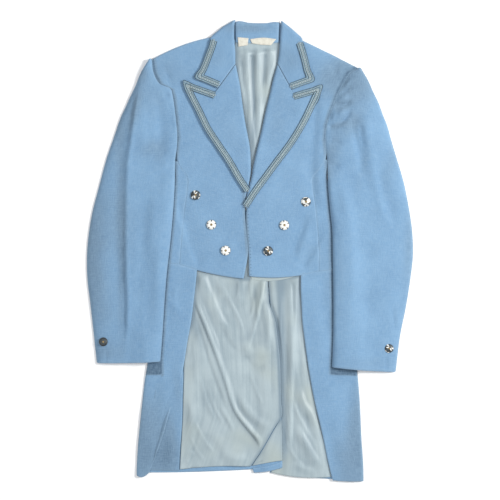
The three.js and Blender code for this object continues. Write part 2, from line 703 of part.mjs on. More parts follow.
/** Path along the free edge of a turned piece: up its outer ends, then back along the corner row to mid. */
function freeEdge(sections, cornerRow) {
  const lift = BRAID_Z - LAPEL_Z;
  const outer = sections.map((row) => new THREE.Vector3(row.outerX, row.outerY, row.z + lift));
  const mid = new THREE.Vector3(cornerRow.midX, cornerRow.midY, cornerRow.z + lift);
  const corner = cornerRow === sections[0] ? outer[0] : outer[outer.length - 1];
  const inward = [0.33, 0.66, 1].map((u) => corner.clone().lerp(mid, u));
  return cornerRow === sections[0] ? [...inward.reverse(), ...outer] : [...outer, ...inward];
}

addWall('braid_lapel_right', stripGrid(freeEdge(LAPEL_RIGHT, LAPEL_RIGHT[8]), -1), BRAID, silverBraid);
addWall('braid_lapel_left', stripGrid(freeEdge(LAPEL_LEFT, LAPEL_LEFT[9]), 1), BRAID, silverBraid);
const flatLeaf = (sections) => sections.filter((row) => row.z === LAPEL_Z);
addWall('braid_collar_right', stripGrid(freeEdge(flatLeaf(COLLAR_RIGHT), COLLAR_RIGHT[0]), -1),
  BRAID, silverBraid);
addWall('braid_collar_left', stripGrid(freeEdge(flatLeaf(COLLAR_LEFT), COLLAR_LEFT[0]), 1),
  BRAID, silverBraid);

// Buttons

/** Domed button with a rolled rim and a short shank, its underside at z = 0. */
function buttonGeometry(scale) {
  const { radius, rim, dome, segments } = BUTTON;
  const profile = [
    [0, 0], [radius * 0.3, 0], [radius * 0.3, 1], [radius * 0.86, 1.2], [radius, 1.2 + rim / 2],
    [radius * 0.94, 1.2 + rim * 1.2], [radius * 0.78, 1.2 + rim], [radius * 0.5, dome], [0, dome + 0.6],
  ].map(([x, y]) => new THREE.Vector2(x * scale, y * scale));
  const geometry = new THREE.LatheGeometry(profile, segments);
  geometry.rotateX(Math.PI / 2);
  return geometry;
}

FRONT_BUTTONS.forEach((place, i) => {
  const button = addMesh(`button_front_${i + 1}`, buttonGeometry(1), buttonMetal);
  button.position.set(place.x, place.y, FRONT_Z + CLOTH / 2 + SEAM);
});
for (const [name, place] of Object.entries(CUFF_BUTTONS)) {
  const button = addMesh(`button_cuff_${name}`, buttonGeometry(CUFF_BUTTON_SCALE), buttonMetal);
  button.position.set(place.x, place.y, CLOTH / 2 + SLEEVE_EDGE + SLEEVE_LOFT + CLOTH / 2 + SEAM);
}

// The origin is the middle of the coat's outline on the surface it lies on
const outline = new THREE.Box3().setFromObject(coat);
const middle = outline.getCenter(new THREE.Vector3());
coat.position.set(-middle.x, -middle.y, -outline.min.z);

export default coat;
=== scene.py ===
"""A pale blue formal tailcoat laid flat on its back: its cloth, lining, braid and buttons.

Each piece of cloth is a thin closed shell on the form of the solid that it stands for, with its creases
listed in tables. The tables give millimetres in the coat's own frame: +Y towards the collar, +X towards the
wearer's left and +Z up from the surface that the coat lies on. Meshes are made in metres.
"""

import logging
import math
from dataclasses import dataclass, field
from enum import Enum
from functools import partial
from typing import Any, Callable, Sequence

import bpy
import numpy as np
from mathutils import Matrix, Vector


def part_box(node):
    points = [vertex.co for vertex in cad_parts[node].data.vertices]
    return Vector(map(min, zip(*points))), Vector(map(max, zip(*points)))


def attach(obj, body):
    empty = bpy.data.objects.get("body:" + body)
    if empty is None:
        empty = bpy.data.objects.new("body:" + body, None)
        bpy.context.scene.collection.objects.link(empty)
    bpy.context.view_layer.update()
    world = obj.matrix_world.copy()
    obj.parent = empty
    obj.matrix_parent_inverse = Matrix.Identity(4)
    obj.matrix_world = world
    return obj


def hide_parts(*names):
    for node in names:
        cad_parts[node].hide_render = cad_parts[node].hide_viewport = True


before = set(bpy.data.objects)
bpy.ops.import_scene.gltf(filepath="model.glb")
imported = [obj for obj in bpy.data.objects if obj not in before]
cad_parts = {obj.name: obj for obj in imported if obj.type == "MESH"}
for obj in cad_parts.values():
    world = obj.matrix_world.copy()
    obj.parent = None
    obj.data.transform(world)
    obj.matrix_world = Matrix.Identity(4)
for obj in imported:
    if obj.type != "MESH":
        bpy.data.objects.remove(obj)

log = logging.getLogger("tailcoat")

MM = 0.001

# Shell thicknesses and the spacing of the points on them
CLOTH_THICK = 2.0
LINING_THICK = 0.7
UNDER_THICK = 2.4
FALL_THICK = 1.5
TURNED_IN_THICK = 1.0
LABEL_THICK = 0.6
BRAID_THICK = 0.9
CLOTH_CELL = 4.0
LINING_CELL = 3.0
BRAID_CELL = 2.0

# How far each kind of piece reaches past its solid, which closes the seams
BODY_SPREAD = 1.2
SLEEVE_SPREAD = 2.1
TURNED_SPREAD = 1.5
FALL_SPREAD = 2.0
STAND_SPREAD = 2.6

# A shell's edge: its rounding as a share of half the thickness, and the width of the worn band beside it
EDGE_ROUNDING = 0.7
EDGE_BAND = 2.5

# Linings: how far their loose parts lie above their bed, and how softly troughs level out on it
LINING_LIFT = 1.5
UP_SOFTNESS = 0.35

# How much painted shade a lining gets beside what covers it, and how much painted shade the fronts get beside
# the sleeves
RIM_SHADE = 0.6
SLEEVE_SHADE = 1.9

# Reading a solid: the steps in a millimetre to which points are rounded when doubles are merged, and how
# strongly triangles pair into flat faces
MERGE_STEPS = 100
FLATNESS = 0.15

# Creases: the spacing of points on their paths, how far a lean shifts their sides, and their unevenness
PATH_STEP = 8.0
LEAN_SHARE = 0.75
UNEVENNESS = 0.22

# Painted shade in troughs: how widely the cloth round a point is averaged, and how deep a full trough is
CREASE_SHADE_BLUR = 12
CREASE_SHADE_DEPTH = 1.6

# Ranges in millimetres over which a layer's creases rise to their full height beside what covers them
BESIDE_SLEEVE = (1, 14)
SLEEVE_EDGE = (0.5, 9)
BESIDE_SKIRT = (1, 12)
BELOW_HEM = (0, 12)
RIGHT_OF_VENT = (0.5, 13)
LEFT_OF_VENT = (2, 9)
BESIDE_ROLL = (0, 9)
BELOW_NECK_SEAM = (0, 14)

# Folds at the sides of body and sleeves: how far the cloth turns down, and over what distance
FOLD_DROP = 1.0
SLEEVE_DROP = 1.3
FOLD_RADIUS = 2.4

# Places along y: under the armpits, where a sleeve's inner edge comes free, and the neck seam
BELOW_SLEEVES = -262.0
ARMPIT = (138.0, 165.0)
NECK_SEAM = 440.0

# Stretch of the left front with pick stitches, and the seat of the cuff buttons on the swollen sleeve
PICK_FROM = -50.0
PICK_TO = 104.0
CUFF_BUTTON_RISE = 1.2

FLOOR_Z = -0.0003
VIEW_CENTRE_Y = 0.85
SEED = 7

Array = np.ndarray
Reshape = Callable[[Array], Array]
Points = Sequence[tuple[float, float]]
Colour = tuple[float, float, float]


class Side(Enum):
    """The wearer's sides: the ends of their solids' names, and the columns at a grid's two edges."""

    RIGHT = ("right", -1, 0)
    LEFT = ("left", 0, -1)

    @property
    def word(self) -> str:
        """The side's name, as the solids' names end."""
        return self.value[0]

    @property
    def inner(self) -> int:
        """The grid column nearest the coat's middle."""
        return self.value[1]

    @property
    def outer(self) -> int:
        """The grid column furthest from the coat's middle."""
        return self.value[2]


# ---------------------------------------------------------------------------------------- node graphs


class Wire:
    """A node's output in arithmetic: an expression on wires adds its Math nodes."""

    def __init__(self, graph: "Graph", socket: Any) -> None:
        """Keeps the graph that new nodes go to, and the output socket."""
        self.graph = graph
        self.socket = socket

    def _maths(self, operation: str, *values: Any) -> "Wire":
        """Adds one Math node.

        Args:
            operation: the node's operation.
            values: its inputs, wires or numbers.

        Returns:
            The node's output.
        """
        node = self.graph.add("ShaderNodeMath", {"operation": operation}, dict(enumerate(values)))
        return Wire(self.graph, node.outputs[0])

    def __add__(self, other: Any) -> "Wire":
        """Sum."""
        return self._maths("ADD", self, other)

    __radd__ = __add__

    def __mul__(self, other: Any) -> "Wire":
        """Product."""
        return self._maths("MULTIPLY", self, other)

    __rmul__ = __mul__

    def __sub__(self, other: Any) -> "Wire":
        """Difference."""
        return self._maths("SUBTRACT", self, other)

    def __rsub__(self, other: Any) -> "Wire":
        """Difference from a number."""
        return self._maths("SUBTRACT", other, self)

    def __pow__(self, power: float) -> "Wire":
        """Power."""
        return self._maths("POWER", self, power)

    def __abs__(self) -> "Wire":
        """Absolute value."""
        return self._maths("ABSOLUTE", self)

    def sine(self) -> "Wire":
        """Sine of radians."""
        return self._maths("SINE", self)

    def between(self, low: float, high: float) -> "Wire":
        """Smooth step from 0 at low to 1 at high."""
        node = self.graph.add(
            "ShaderNodeMapRange",
            {"interpolation_type": "SMOOTHSTEP"},
            {"Value": self, "From Min": low, "From Max": high},
        )
        return Wire(self.graph, node.outputs[0])


class Graph:
    """A node tree, with the one way in which nodes are added to it."""

    def __init__(self, tree: bpy.types.NodeTree) -> None:
        """Keeps the tree."""
        self.tree = tree

    def add(self, kind: str, settings: dict[str, Any], values: dict[Any, Any]) -> bpy.types.Node:
        """Adds a node.

        Args:
            kind: the node's type.
            settings: its properties, which are set first.
            values: what goes into its inputs, by index, identifier or name: a wire, a socket or a value.

        Returns:
            The node.
        """
        node = self.tree.nodes.new(kind)
        for key, value in settings.items():
            setattr(node, key, value)
        for key, value in values.items():
            target = self.input_of(node, key)
            source = value.socket if isinstance(value, Wire) else value
            if isinstance(source, bpy.types.NodeSocket):
                self.tree.links.new(source, target)
            else:
                target.default_value = source
        return node

    @staticmethod
    def input_of(node: bpy.types.Node, key: Any) -> bpy.types.NodeSocket:
        """Input of a node by its index, identifier or name.

        Args:
            node: the node.
            key: the index, identifier or name.

        Returns:
            The input.
        """
        if isinstance(key, int):
            return node.inputs[key]
        by_identifier = [socket for socket in node.inputs if socket.identifier == key]
        return by_identifier[0] if by_identifier else node.inputs[key]


class Shader(Graph):
    """The node tree of a material."""

    def __init__(self, name: str) -> None:
        """Makes an empty material of that name."""
        self.material = bpy.data.materials.new(name)
        self.material.use_nodes = True
        self.material.node_tree.nodes.clear()
        super().__init__(self.material.node_tree)

    def place(self, scale: Sequence[float] = (1, 1, 1), on_surface: bool = True, turn: float = 0.0) -> Any:
        """Coordinates in metres times scale.

        Args:
            scale: how much each axis is stretched.
            on_surface: whether they follow the cloth's own UV map, not the coat's frame.
            turn: turn about Z, in radians.

        Returns:
            The vector socket.
        """
        source = self.add("ShaderNodeTexCoord", {}, {}).outputs["UV" if on_surface else "Object"]
        values = {"Vector": source, "Rotation": (0, 0, turn), "Scale": scale}
        return self.add("ShaderNodeMapping", {}, values).outputs[0]

    def split(self, vector: Any) -> tuple[Wire, Wire, Wire]:
        """The three parts of a vector."""
        node = self.add("ShaderNodeSeparateXYZ", {}, {0: vector})
        return tuple(Wire(self, socket) for socket in node.outputs)

    def noise(self, vector: Any, scale: float, detail: float = 2.0, roughness: float = 0.5) -> Wire:
        """Noise from about 0 to 1."""
        values = {"Vector": vector, "Scale": scale, "Detail": detail, "Roughness": roughness}
        return Wire(self, self.add("ShaderNodeTexNoise", {}, values).outputs["Fac"])

    def clouds(self, scale: float, detail: float, roughness: float) -> Wire:
        """Noise in the coat's own frame, the same in every direction."""
        return self.noise(self.place(on_surface=False), scale, detail, roughness)

    def streaks(self, scale: Sequence[float], detail: float, roughness: float, turn: float = 0.0) -> Wire:
        """Noise along the cloth, stretched by the inverse of scale and turned by turn radians."""
        return self.noise(self.place(scale, turn=turn), 1.0, detail, roughness)

    def attribute(self, name: str) -> Wire:
        """A number that the mesh carries at its points."""
        return Wire(self, self.add("ShaderNodeAttribute", {"attribute_name": name}, {}).outputs["Fac"])

    def blend(self, share: Any, first: Any, second: Any) -> Any:
        """Mixes two colours.

        Args:
            share: how much of the second there is, a wire or a number.
            first: colour or socket.
            second: colour or socket.

        Returns:
            The colour socket.
        """
        first, second = ((*c, 1.0) if isinstance(c, tuple) else c for c in (first, second))
        values = {"Factor_Float": share, "A_Color": first, "B_Color": second}
        node = self.add("ShaderNodeMix", {"data_type": "RGBA"}, values)
        return next(socket for socket in node.outputs if socket.identifier == "Result_Color")

    def raised(self, height: Wire, distance: float, strength: float = 1.0) -> Any:
        """Normal of a surface raised by height times distance, in metres."""
        values = {"Height": height, "Distance": distance, "Strength": strength}
        return self.add("ShaderNodeBump", {}, values).outputs[0]

    def finish(self, colour: Any, roughness: Any, normal: Any, **constants: Any) -> bpy.types.Material:
        """Closes the material with its surface shader.

        Args:
            colour: Base Color.
            roughness: Roughness.
            normal: Normal.
            constants: the shader's other inputs by name, with _ for a space.

        Returns:
            The material.
        """
        values = {"Base Color": colour, "Roughness": roughness, "Normal": normal}
        values |= {key.replace("_", " "): value for key, value in constants.items()}
        surface = self.add("ShaderNodeBsdfPrincipled", {}, values)
        self.add("ShaderNodeOutputMaterial", {}, {"Surface": surface.outputs[0]})
        return self.material


# ------------------------------------------------------------------------------------------- finishes


@dataclass(frozen=True)
class WoolBlend:
    """Matt woven suiting, with a faint slub, a dry hand and paler worn edges.

    The shares say how strongly painted shade in troughs, greyed patches of dust and painted shade, the
    darkest painted shadow and pale flecks show; yarn and relief are the spacing of its yarns and the height
    of its weave, in metres.
    """

    name: str = "blue_suiting"
    colour: Colour = (0.201, 0.356, 0.538)
    deep: Colour = (0.142, 0.266, 0.425)
    grey_and_shade: Colour = (0.128, 0.200, 0.282)
    shadow: Colour = (0.040, 0.085, 0.145)
    pale: Colour = (0.310, 0.455, 0.590)
    crease_shade_share: float = 0.55
    grey_and_shade_share: float = 0.72
    shadow_share: float = 0.85
    fleck_share: float = 0.3
    yarn: float = 0.9 * MM
    relief: float = 0.26 * MM
    sheen: float = 0.12

    def build(self) -> bpy.types.Material:
        """Builds the material."""
        shader = Shader(self.name)
        turns = 2 * math.pi / self.yarn
        across, along, _ = shader.split(shader.place((turns, turns, turns)))
        weave = across.sine() * along.sine() * 0.5 + 0.5
        twill = (across + along * 0.5).sine() * 0.5 + 0.5
        slub = shader.streaks((60, 900, 1), 3.0, 0.6)
        fibre = shader.noise(shader.place(), 2600, 2.0, 0.7)
        mottle = shader.clouds(26, 4.0, 0.6)
        broad = shader.clouds(6.5, 2.0, 0.5)
        tone = broad * 0.5 + mottle * 0.45 + slub * 0.2 + fibre * 0.12 - 0.3
        base = shader.blend(tone.between(0.1, 0.75), self.deep, self.colour)
        # Painted shade: the cloth darkens in the troughs of its creases.
        base = shader.blend(shader.attribute("painted_crease_shade") * self.crease_shade_share, base, self.deep)
        # Grey patches are dust in part and painted shade in part; the darkest values are painted shadow at
        # gaps and beside covering layers.
        grey_and_shade = shader.attribute("grey_and_shade") * (0.55 + 0.9 * mottle)
        base = shader.blend(grey_and_shade.between(0.0, 1.0) * self.grey_and_shade_share, base, self.grey_and_shade)
        darkest = shader.attribute("grey_and_shade").between(0.95, 1.75)
        base = shader.blend(darkest * self.shadow_share, base, self.shadow)
        cross = shader.streaks((430, 70, 1), 4.0, 0.7)
        down = shader.streaks((60, 460, 1), 4.0, 0.7)
        fleck = (cross + down - 0.72).between(0.0, 0.56)
        base = shader.blend(fleck * self.fleck_share, base, self.pale)
        worn = shader.attribute("edge") * (0.10 + 0.3 * mottle)
        base = shader.blend(worn, base, self.pale)
        height = weave * 0.45 + twill * 0.3 + slub * 0.5 + fibre * 0.35 + fleck * 1.4
        normal = shader.raised(height, self.relief, 0.6)
        roughness = 0.78 + 0.12 * mottle
        return shader.finish(base, roughness, normal, Sheen_Weight=self.sheen, Sheen_Roughness=0.5,
                             Specular_IOR_Level=0.25)


@dataclass(frozen=True)
class SatinLining:
    """Grey green satin, with fine lengthwise floats and small creases.

    The shares say how strongly stains, painted shade in troughs and greyed patches of dust and painted shade
    show; relief is the height of its small creases, in metres.
    """

    name: str = "satin_lining"
    colour: Colour = (0.368, 0.448, 0.478)
    dull: Colour = (0.238, 0.310, 0.350)
    warm: Colour = (0.345, 0.405, 0.395)
    deep: Colour = (0.150, 0.205, 0.245)
    shade: Colour = (0.125, 0.190, 0.250)
    stain_share: float = 0.9
    crease_shade_share: float = 0.8
    shade_share: float = 0.75
    relief: float = 2.2 * MM
    roughness: float = 0.42

    def build(self) -> bpy.types.Material:
        """Builds the material."""
        shader = Shader(self.name)
        floats = shader.streaks((2600, 140, 1), 2.0, 0.6)
        mottle = shader.clouds(14, 3.0, 0.55)
        crinkle = shader.streaks((80, 13, 1), 4.0, 0.55, 0.22)
        small = shader.streaks((190, 40, 1), 3.0, 0.5, -0.35)
        streak = shader.streaks((130, 5, 1), 4.0, 0.6, 0.12)
        tone = (mottle * 0.45 + streak * 0.45 + floats * 0.25).between(0.34, 0.72)
        base = shader.blend(tone, self.dull, self.colour)
        stain = shader.clouds(8.5, 2.0, 0.5)
        base = shader.blend((stain - 0.45).between(0.0, 0.3) * self.stain_share, base, self.warm)
        # Painted shade: the lining darkens in the troughs of its creases.
        base = shader.blend(shader.attribute("painted_crease_shade") * self.crease_shade_share, base, self.deep)
        # Painted shade beside what covers the lining, and in the greyed patches that stand for shade.
        shaded = shader.attribute("grey_and_shade").between(0.0, 1.0)
        base = shader.blend(shaded * self.shade_share, base, self.shade)
        height = crinkle + small * 0.3 + floats * 0.05
        normal = shader.raised(height, self.relief, 0.4)
        roughness = self.roughness + 0.12 * floats
        return shader.finish(base, roughness, normal, Sheen_Weight=0.1, Specular_IOR_Level=0.5)


@dataclass(frozen=True)
class MetallicRibbon:
    """Grey green ribbon of metallic thread, woven in a fine herringbone."""

    name: str = "braid_ribbon"
    colour: Colour = (0.125, 0.215, 0.285)
    light: Colour = (0.280, 0.415, 0.515)

    def build(self) -> bpy.types.Material:
        """Builds the material."""
        shader = Shader(self.name)
        across, along, _ = shader.split(shader.place((1 / MM, 1 / MM, 1)))
        rib = (along * 3.1 + abs((across * 1.2).sine()) * 3.0).sine() * 0.5 + 0.5
        fleck = shader.noise(shader.place(), 1500, 3.0, 0.65)
        patch = shader.clouds(90, 2.0, 0.5)
        share = (rib * 0.55 + fleck * 0.6 + patch * 0.3 - 0.35).between(0.1, 0.9)
        base = shader.blend(share, self.colour, self.light)
        normal = shader.raised(rib * 0.7 + fleck * 0.5, 0.0003, 0.7)
        return shader.finish(base, 0.42 + 0.2 * fleck, normal, Metallic=0.35)


@dataclass(frozen=True)
class Thread:
    """Twisted thread, plain or metallic."""

    name: str
    colour: Colour
    metallic: float = 0.0
    roughness: float = 0.6

    def build(self) -> bpy.types.Material:
        """Builds the material."""
        shader = Shader(self.name)
        x, y, z = shader.split(shader.place(on_surface=False))
        ply = ((x + y) * 5200 + z * 2600).sine() * 0.5 + 0.5
        fleck = shader.clouds(700, 2.0, 0.6)
        dark = tuple(0.55 * part for part in self.colour)
        base = shader.blend((ply * 0.4 + fleck * 0.6).between(0.1, 0.8), dark, self.colour)
        normal = shader.raised(ply * 0.6 + fleck * 0.4, 0.00015, 0.6)
        return shader.finish(base, self.roughness + 0.1 * fleck, normal, Metallic=self.metallic)


@dataclass(frozen=True)
class LabelCloth:
    """Cream damask ribbon."""

    name: str = "label_cloth"
    colour: Colour = (0.66, 0.64, 0.56)

    def build(self) -> bpy.types.Material:
        """Builds the material."""
        shader = Shader(self.name)
        across, along, _ = shader.split(shader.place((1 / MM, 1 / MM, 1)))
        weave = (across * 7.0).sine() * (along * 7.0).sine() * 0.5 + 0.5
        grime = shader.clouds(120, 3.0, 0.6)
        base = shader.blend(grime.between(0.35, 0.75) * 0.6, self.colour, (0.47, 0.45, 0.38))
        normal = shader.raised(weave * 0.5 + grime * 0.8, 0.0003, 0.6)
        return shader.finish(base, 0.62 + 0.1 * grime, normal, Sheen_Weight=0.1)


@dataclass(frozen=True)
class ButtonFinish:
    """Silvered button: pale glazed petals on tarnished metal, with a gilt centre; the dark colour also paints
    shade and reflection on some petals.
    """

    name: str = "flower_button"
    silver: Colour = (0.20, 0.215, 0.21)
    tarnish_and_shade: Colour = (0.070, 0.080, 0.085)
    glaze: Colour = (0.80, 0.80, 0.76)
    gilt: Colour = (0.36, 0.25, 0.10)

    def build(self) -> bpy.types.Material:
        """Builds the material."""
        shader = Shader(self.name)
        grain = shader.clouds(900, 3.0, 0.6)
        petal = shader.attribute("petal")
        patina_and_shade = shader.attribute("patina_and_shade")
        base = shader.blend(petal, self.silver, self.glaze)
        base = shader.blend(shader.attribute("gilt"), base, self.gilt)
        # Dark colour: tarnish between the petals, painted shade and reflection on the petals listed dark.
        base = shader.blend((patina_and_shade * (0.8 + 0.4 * grain)).between(0.05, 0.95), base, self.tarnish_and_shade)
        normal = shader.raised(grain, 0.00008, 0.5)
        roughness = 0.24 + 0.2 * grain + 0.2 * patina_and_shade
        return shader.finish(base, roughness, normal, Metallic=0.85 - 0.8 * petal)


@dataclass(frozen=True)
class PaleFloor:
    """Plain pale paper backdrop."""

    name: str = "pale_floor"
    colour: Colour = (0.93, 0.93, 0.93)

    def build(self) -> bpy.types.Material:
        """Builds the material."""
        shader = Shader(self.name)
        tooth = shader.clouds(300, 3.0, 0.6)
        base = shader.blend(tooth * 0.04, self.colour, (0.85, 0.85, 0.85))
        return shader.finish(base, 0.9, shader.raised(tooth, 0.0002, 0.2), Specular_IOR_Level=0.1)


# ------------------------------------------------------------------------------------ creases and loft


def smooth_step(value: Array, low: float, high: float) -> Array:
    """Smooth step from 0 at low to 1 at high."""
    share = np.clip((value - low) / (high - low), 0.0, 1.0)
    return share * share * (3 - 2 * share)


def hermite(values: Array, knots: Array, at: Array, monotone: bool) -> Array:
    """Smooth curve through values.

    Args:
        values: one row of numbers for each knot.
        knots: rising parameters.
        at: parameters asked for.
        monotone: whether the curve keeps between its neighbours, with no overshoot.

    Returns:
        One row of numbers for each parameter asked for.
    """
    flat = values.reshape(len(values), -1)
    gaps = np.diff(knots)[:, None]
    slopes = np.diff(flat, axis=0) / gaps
    tangents = np.vstack([slopes[:1], slopes[:1], slopes[-1:]]) if len(flat) == 2 else np.empty_like(flat)
    if len(flat) > 2:
        before, after = slopes[:-1], slopes[1:]
        inner = (before * gaps[1:] + after * gaps[:-1]) / (gaps[1:] + gaps[:-1])
        if monotone:
            rising = before * after > 0
            inner = np.where(rising, 2 * before * after / np.where(rising, before + after, 1), 0)
        tangents[0], tangents[-1], tangents[1:-1] = slopes[0], slopes[-1], inner
    k = np.clip(np.searchsorted(knots, at, "right") - 1, 0, len(knots) - 2)
    gap = gaps[k]
    t = ((at - knots[k]) / gap[:, 0])[:, None]
    rise = flat[k] * (1 + 2 * t) * (1 - t) ** 2 + flat[k + 1] * t * t * (3 - 2 * t)
    turn = tangents[k] * t * (1 - t) ** 2 + tangents[k + 1] * t * t * (t - 1)
    return (rise + gap * turn).reshape(len(at), *values.shape[1:])


def smooth_path(points: Points, step: float) -> Array:
    """Points about step apart on the smooth curve through the given ones.

    Args:
        points: the given points.
        step: the spacing asked for.

    Returns:
        The points, one to a row.
    """
    path = np.array(points, float)
    along = np.concatenate([[0], np.cumsum(np.linalg.norm(np.diff(path, axis=0), axis=1))])
    count = max(2, math.ceil(along[-1] / step) + 1)
    return hermite(path, along, np.linspace(0, along[-1], count), False)


@dataclass(frozen=True)
class Fold:
    """A crease: a ridge, or with a negative height a trough, along a path.

    height and width are its height and its half width; lean makes it steep on its left (towards 1) or on
    its right (towards -1); start and end are the shares of its length over which it fades.
    """

    path: Points
    height: float
    width: float
    lean: float = 0.0
    start: float = 0.3
    end: float = 0.3

    def at(self, x: Array, y: Array) -> Array:
        """Its height at points, in millimetres.

        Args:
            x: where they are across the coat.
            y: where they are along it.

        Returns:
            An array of the arguments' shape.
        """
        line = smooth_path(self.path, PATH_STEP)
        best = np.full(x.shape, np.inf)
        signed = np.zeros(x.shape)
        share = np.zeros(x.shape)
        for k, (a, b) in enumerate(zip(line[:-1], line[1:])):
            step = b - a
            long = step @ step
            t = ((x - a[0]) * step[0] + (y - a[1]) * step[1]) / long
            inside = np.clip(t, 0, 1)
            dx, dy = x - a[0] - inside * step[0], y - a[1] - inside * step[1]
            away = dx * dx + dy * dy
            nearer = away < best
            best = np.where(nearer, away, best)
            signed = np.where(nearer, np.sign(step[0] * dy - step[1] * dx) * np.sqrt(away), signed)
            share = np.where(nearer, (k + inside) / (len(line) - 1), share)
        width = self.width * (1 - LEAN_SHARE * self.lean * np.where(signed > 0, 1, -1))
        fade = smooth_step(share, 0, self.start + 1e-6) * smooth_step(1 - share, 0, self.end + 1e-6)
        uneven = 1 + UNEVENNESS * np.sin(9 * share + self.path[0][0] * 0.05)
        return self.height * fade * uneven * np.exp(-((signed / width) ** 2))


@dataclass(frozen=True)
class Swell:
    """A long low unevenness: one wave of the given length, running along a bearing."""

    height: float
    length: float
    bearing: float
    phase: float

    def at(self, x: Array, y: Array) -> Array:
        """Its height at points, in millimetres.

        Args:
            x: where they are across the coat.
            y: where they are along it.

        Returns:
            An array of the arguments' shape.
        """
        along = x * math.cos(self.bearing) + y * math.sin(self.bearing)
        across = x * math.sin(self.bearing) - y * math.cos(self.bearing)
        sway = 0.8 * np.sin(across / (0.8 * self.length) + 2.1 * self.phase)
        return self.height * np.sin(2 * math.pi * along / self.length + self.phase + sway)


@dataclass(frozen=True)
class DustAndShade:
    """A soft oval patch of greyed cloth, dust in some places and painted shade in others: its middle, half
    sizes, turn in radians and strength.
    """

    x: float
    y: float
    across: float
    along: float
    turn: float
    strength: float

    def at(self, x: Array, y: Array) -> Array:
        """Strength at points."""
        u = ((x - self.x) * math.cos(self.turn) + (y - self.y) * math.sin(self.turn)) / self.across
        v = ((y - self.y) * math.cos(self.turn) - (x - self.x) * math.sin(self.turn)) / self.along
        return self.strength * np.exp(-(u * u + v * v))


@dataclass(frozen=True)
class Relief:
    """All creases of one layer of cloth, within a window that fades them where something lies on it."""

    folds: tuple[Fold, ...] = ()
    swells: tuple[Swell, ...] = ()
    window: Callable[[Array, Array], Array] | None = None
    dust: tuple[DustAndShade, ...] = ()
    lift: float = 0.0
    rim_shade: float = 0.0

    def at(self, x: Array, y: Array) -> Array:
        """Height of the layer's creases at points, in millimetres.

        Args:
            x: where they are across the coat.
            y: where they are along it.

        Returns:
            An array of the arguments' shape.
        """
        total = np.full(x.shape, self.lift)
        for part in (*self.folds, *self.swells):
            total = total + part.at(x, y)
        return total if self.window is None else total * self.window(x, y)

    def greyed_and_shaded(self, x: Array, y: Array) -> Array:
        """How greyed and shaded the cloth is at points: its patches of dust and painted shade, and painted
        shade where the next layer covers it.

        Args:
            x: where they are across the coat.
            y: where they are along it.

        Returns:
            An array of the arguments' shape.
        """
        total = np.zeros(x.shape)
        for patch in self.dust:
            total = total + patch.at(x, y)
        if self.window is not None:
            total = total + self.rim_shade * (1 - self.window(x, y)) ** 2
        return total


# -------------------------------------------------------------------------------------- forms of cloth


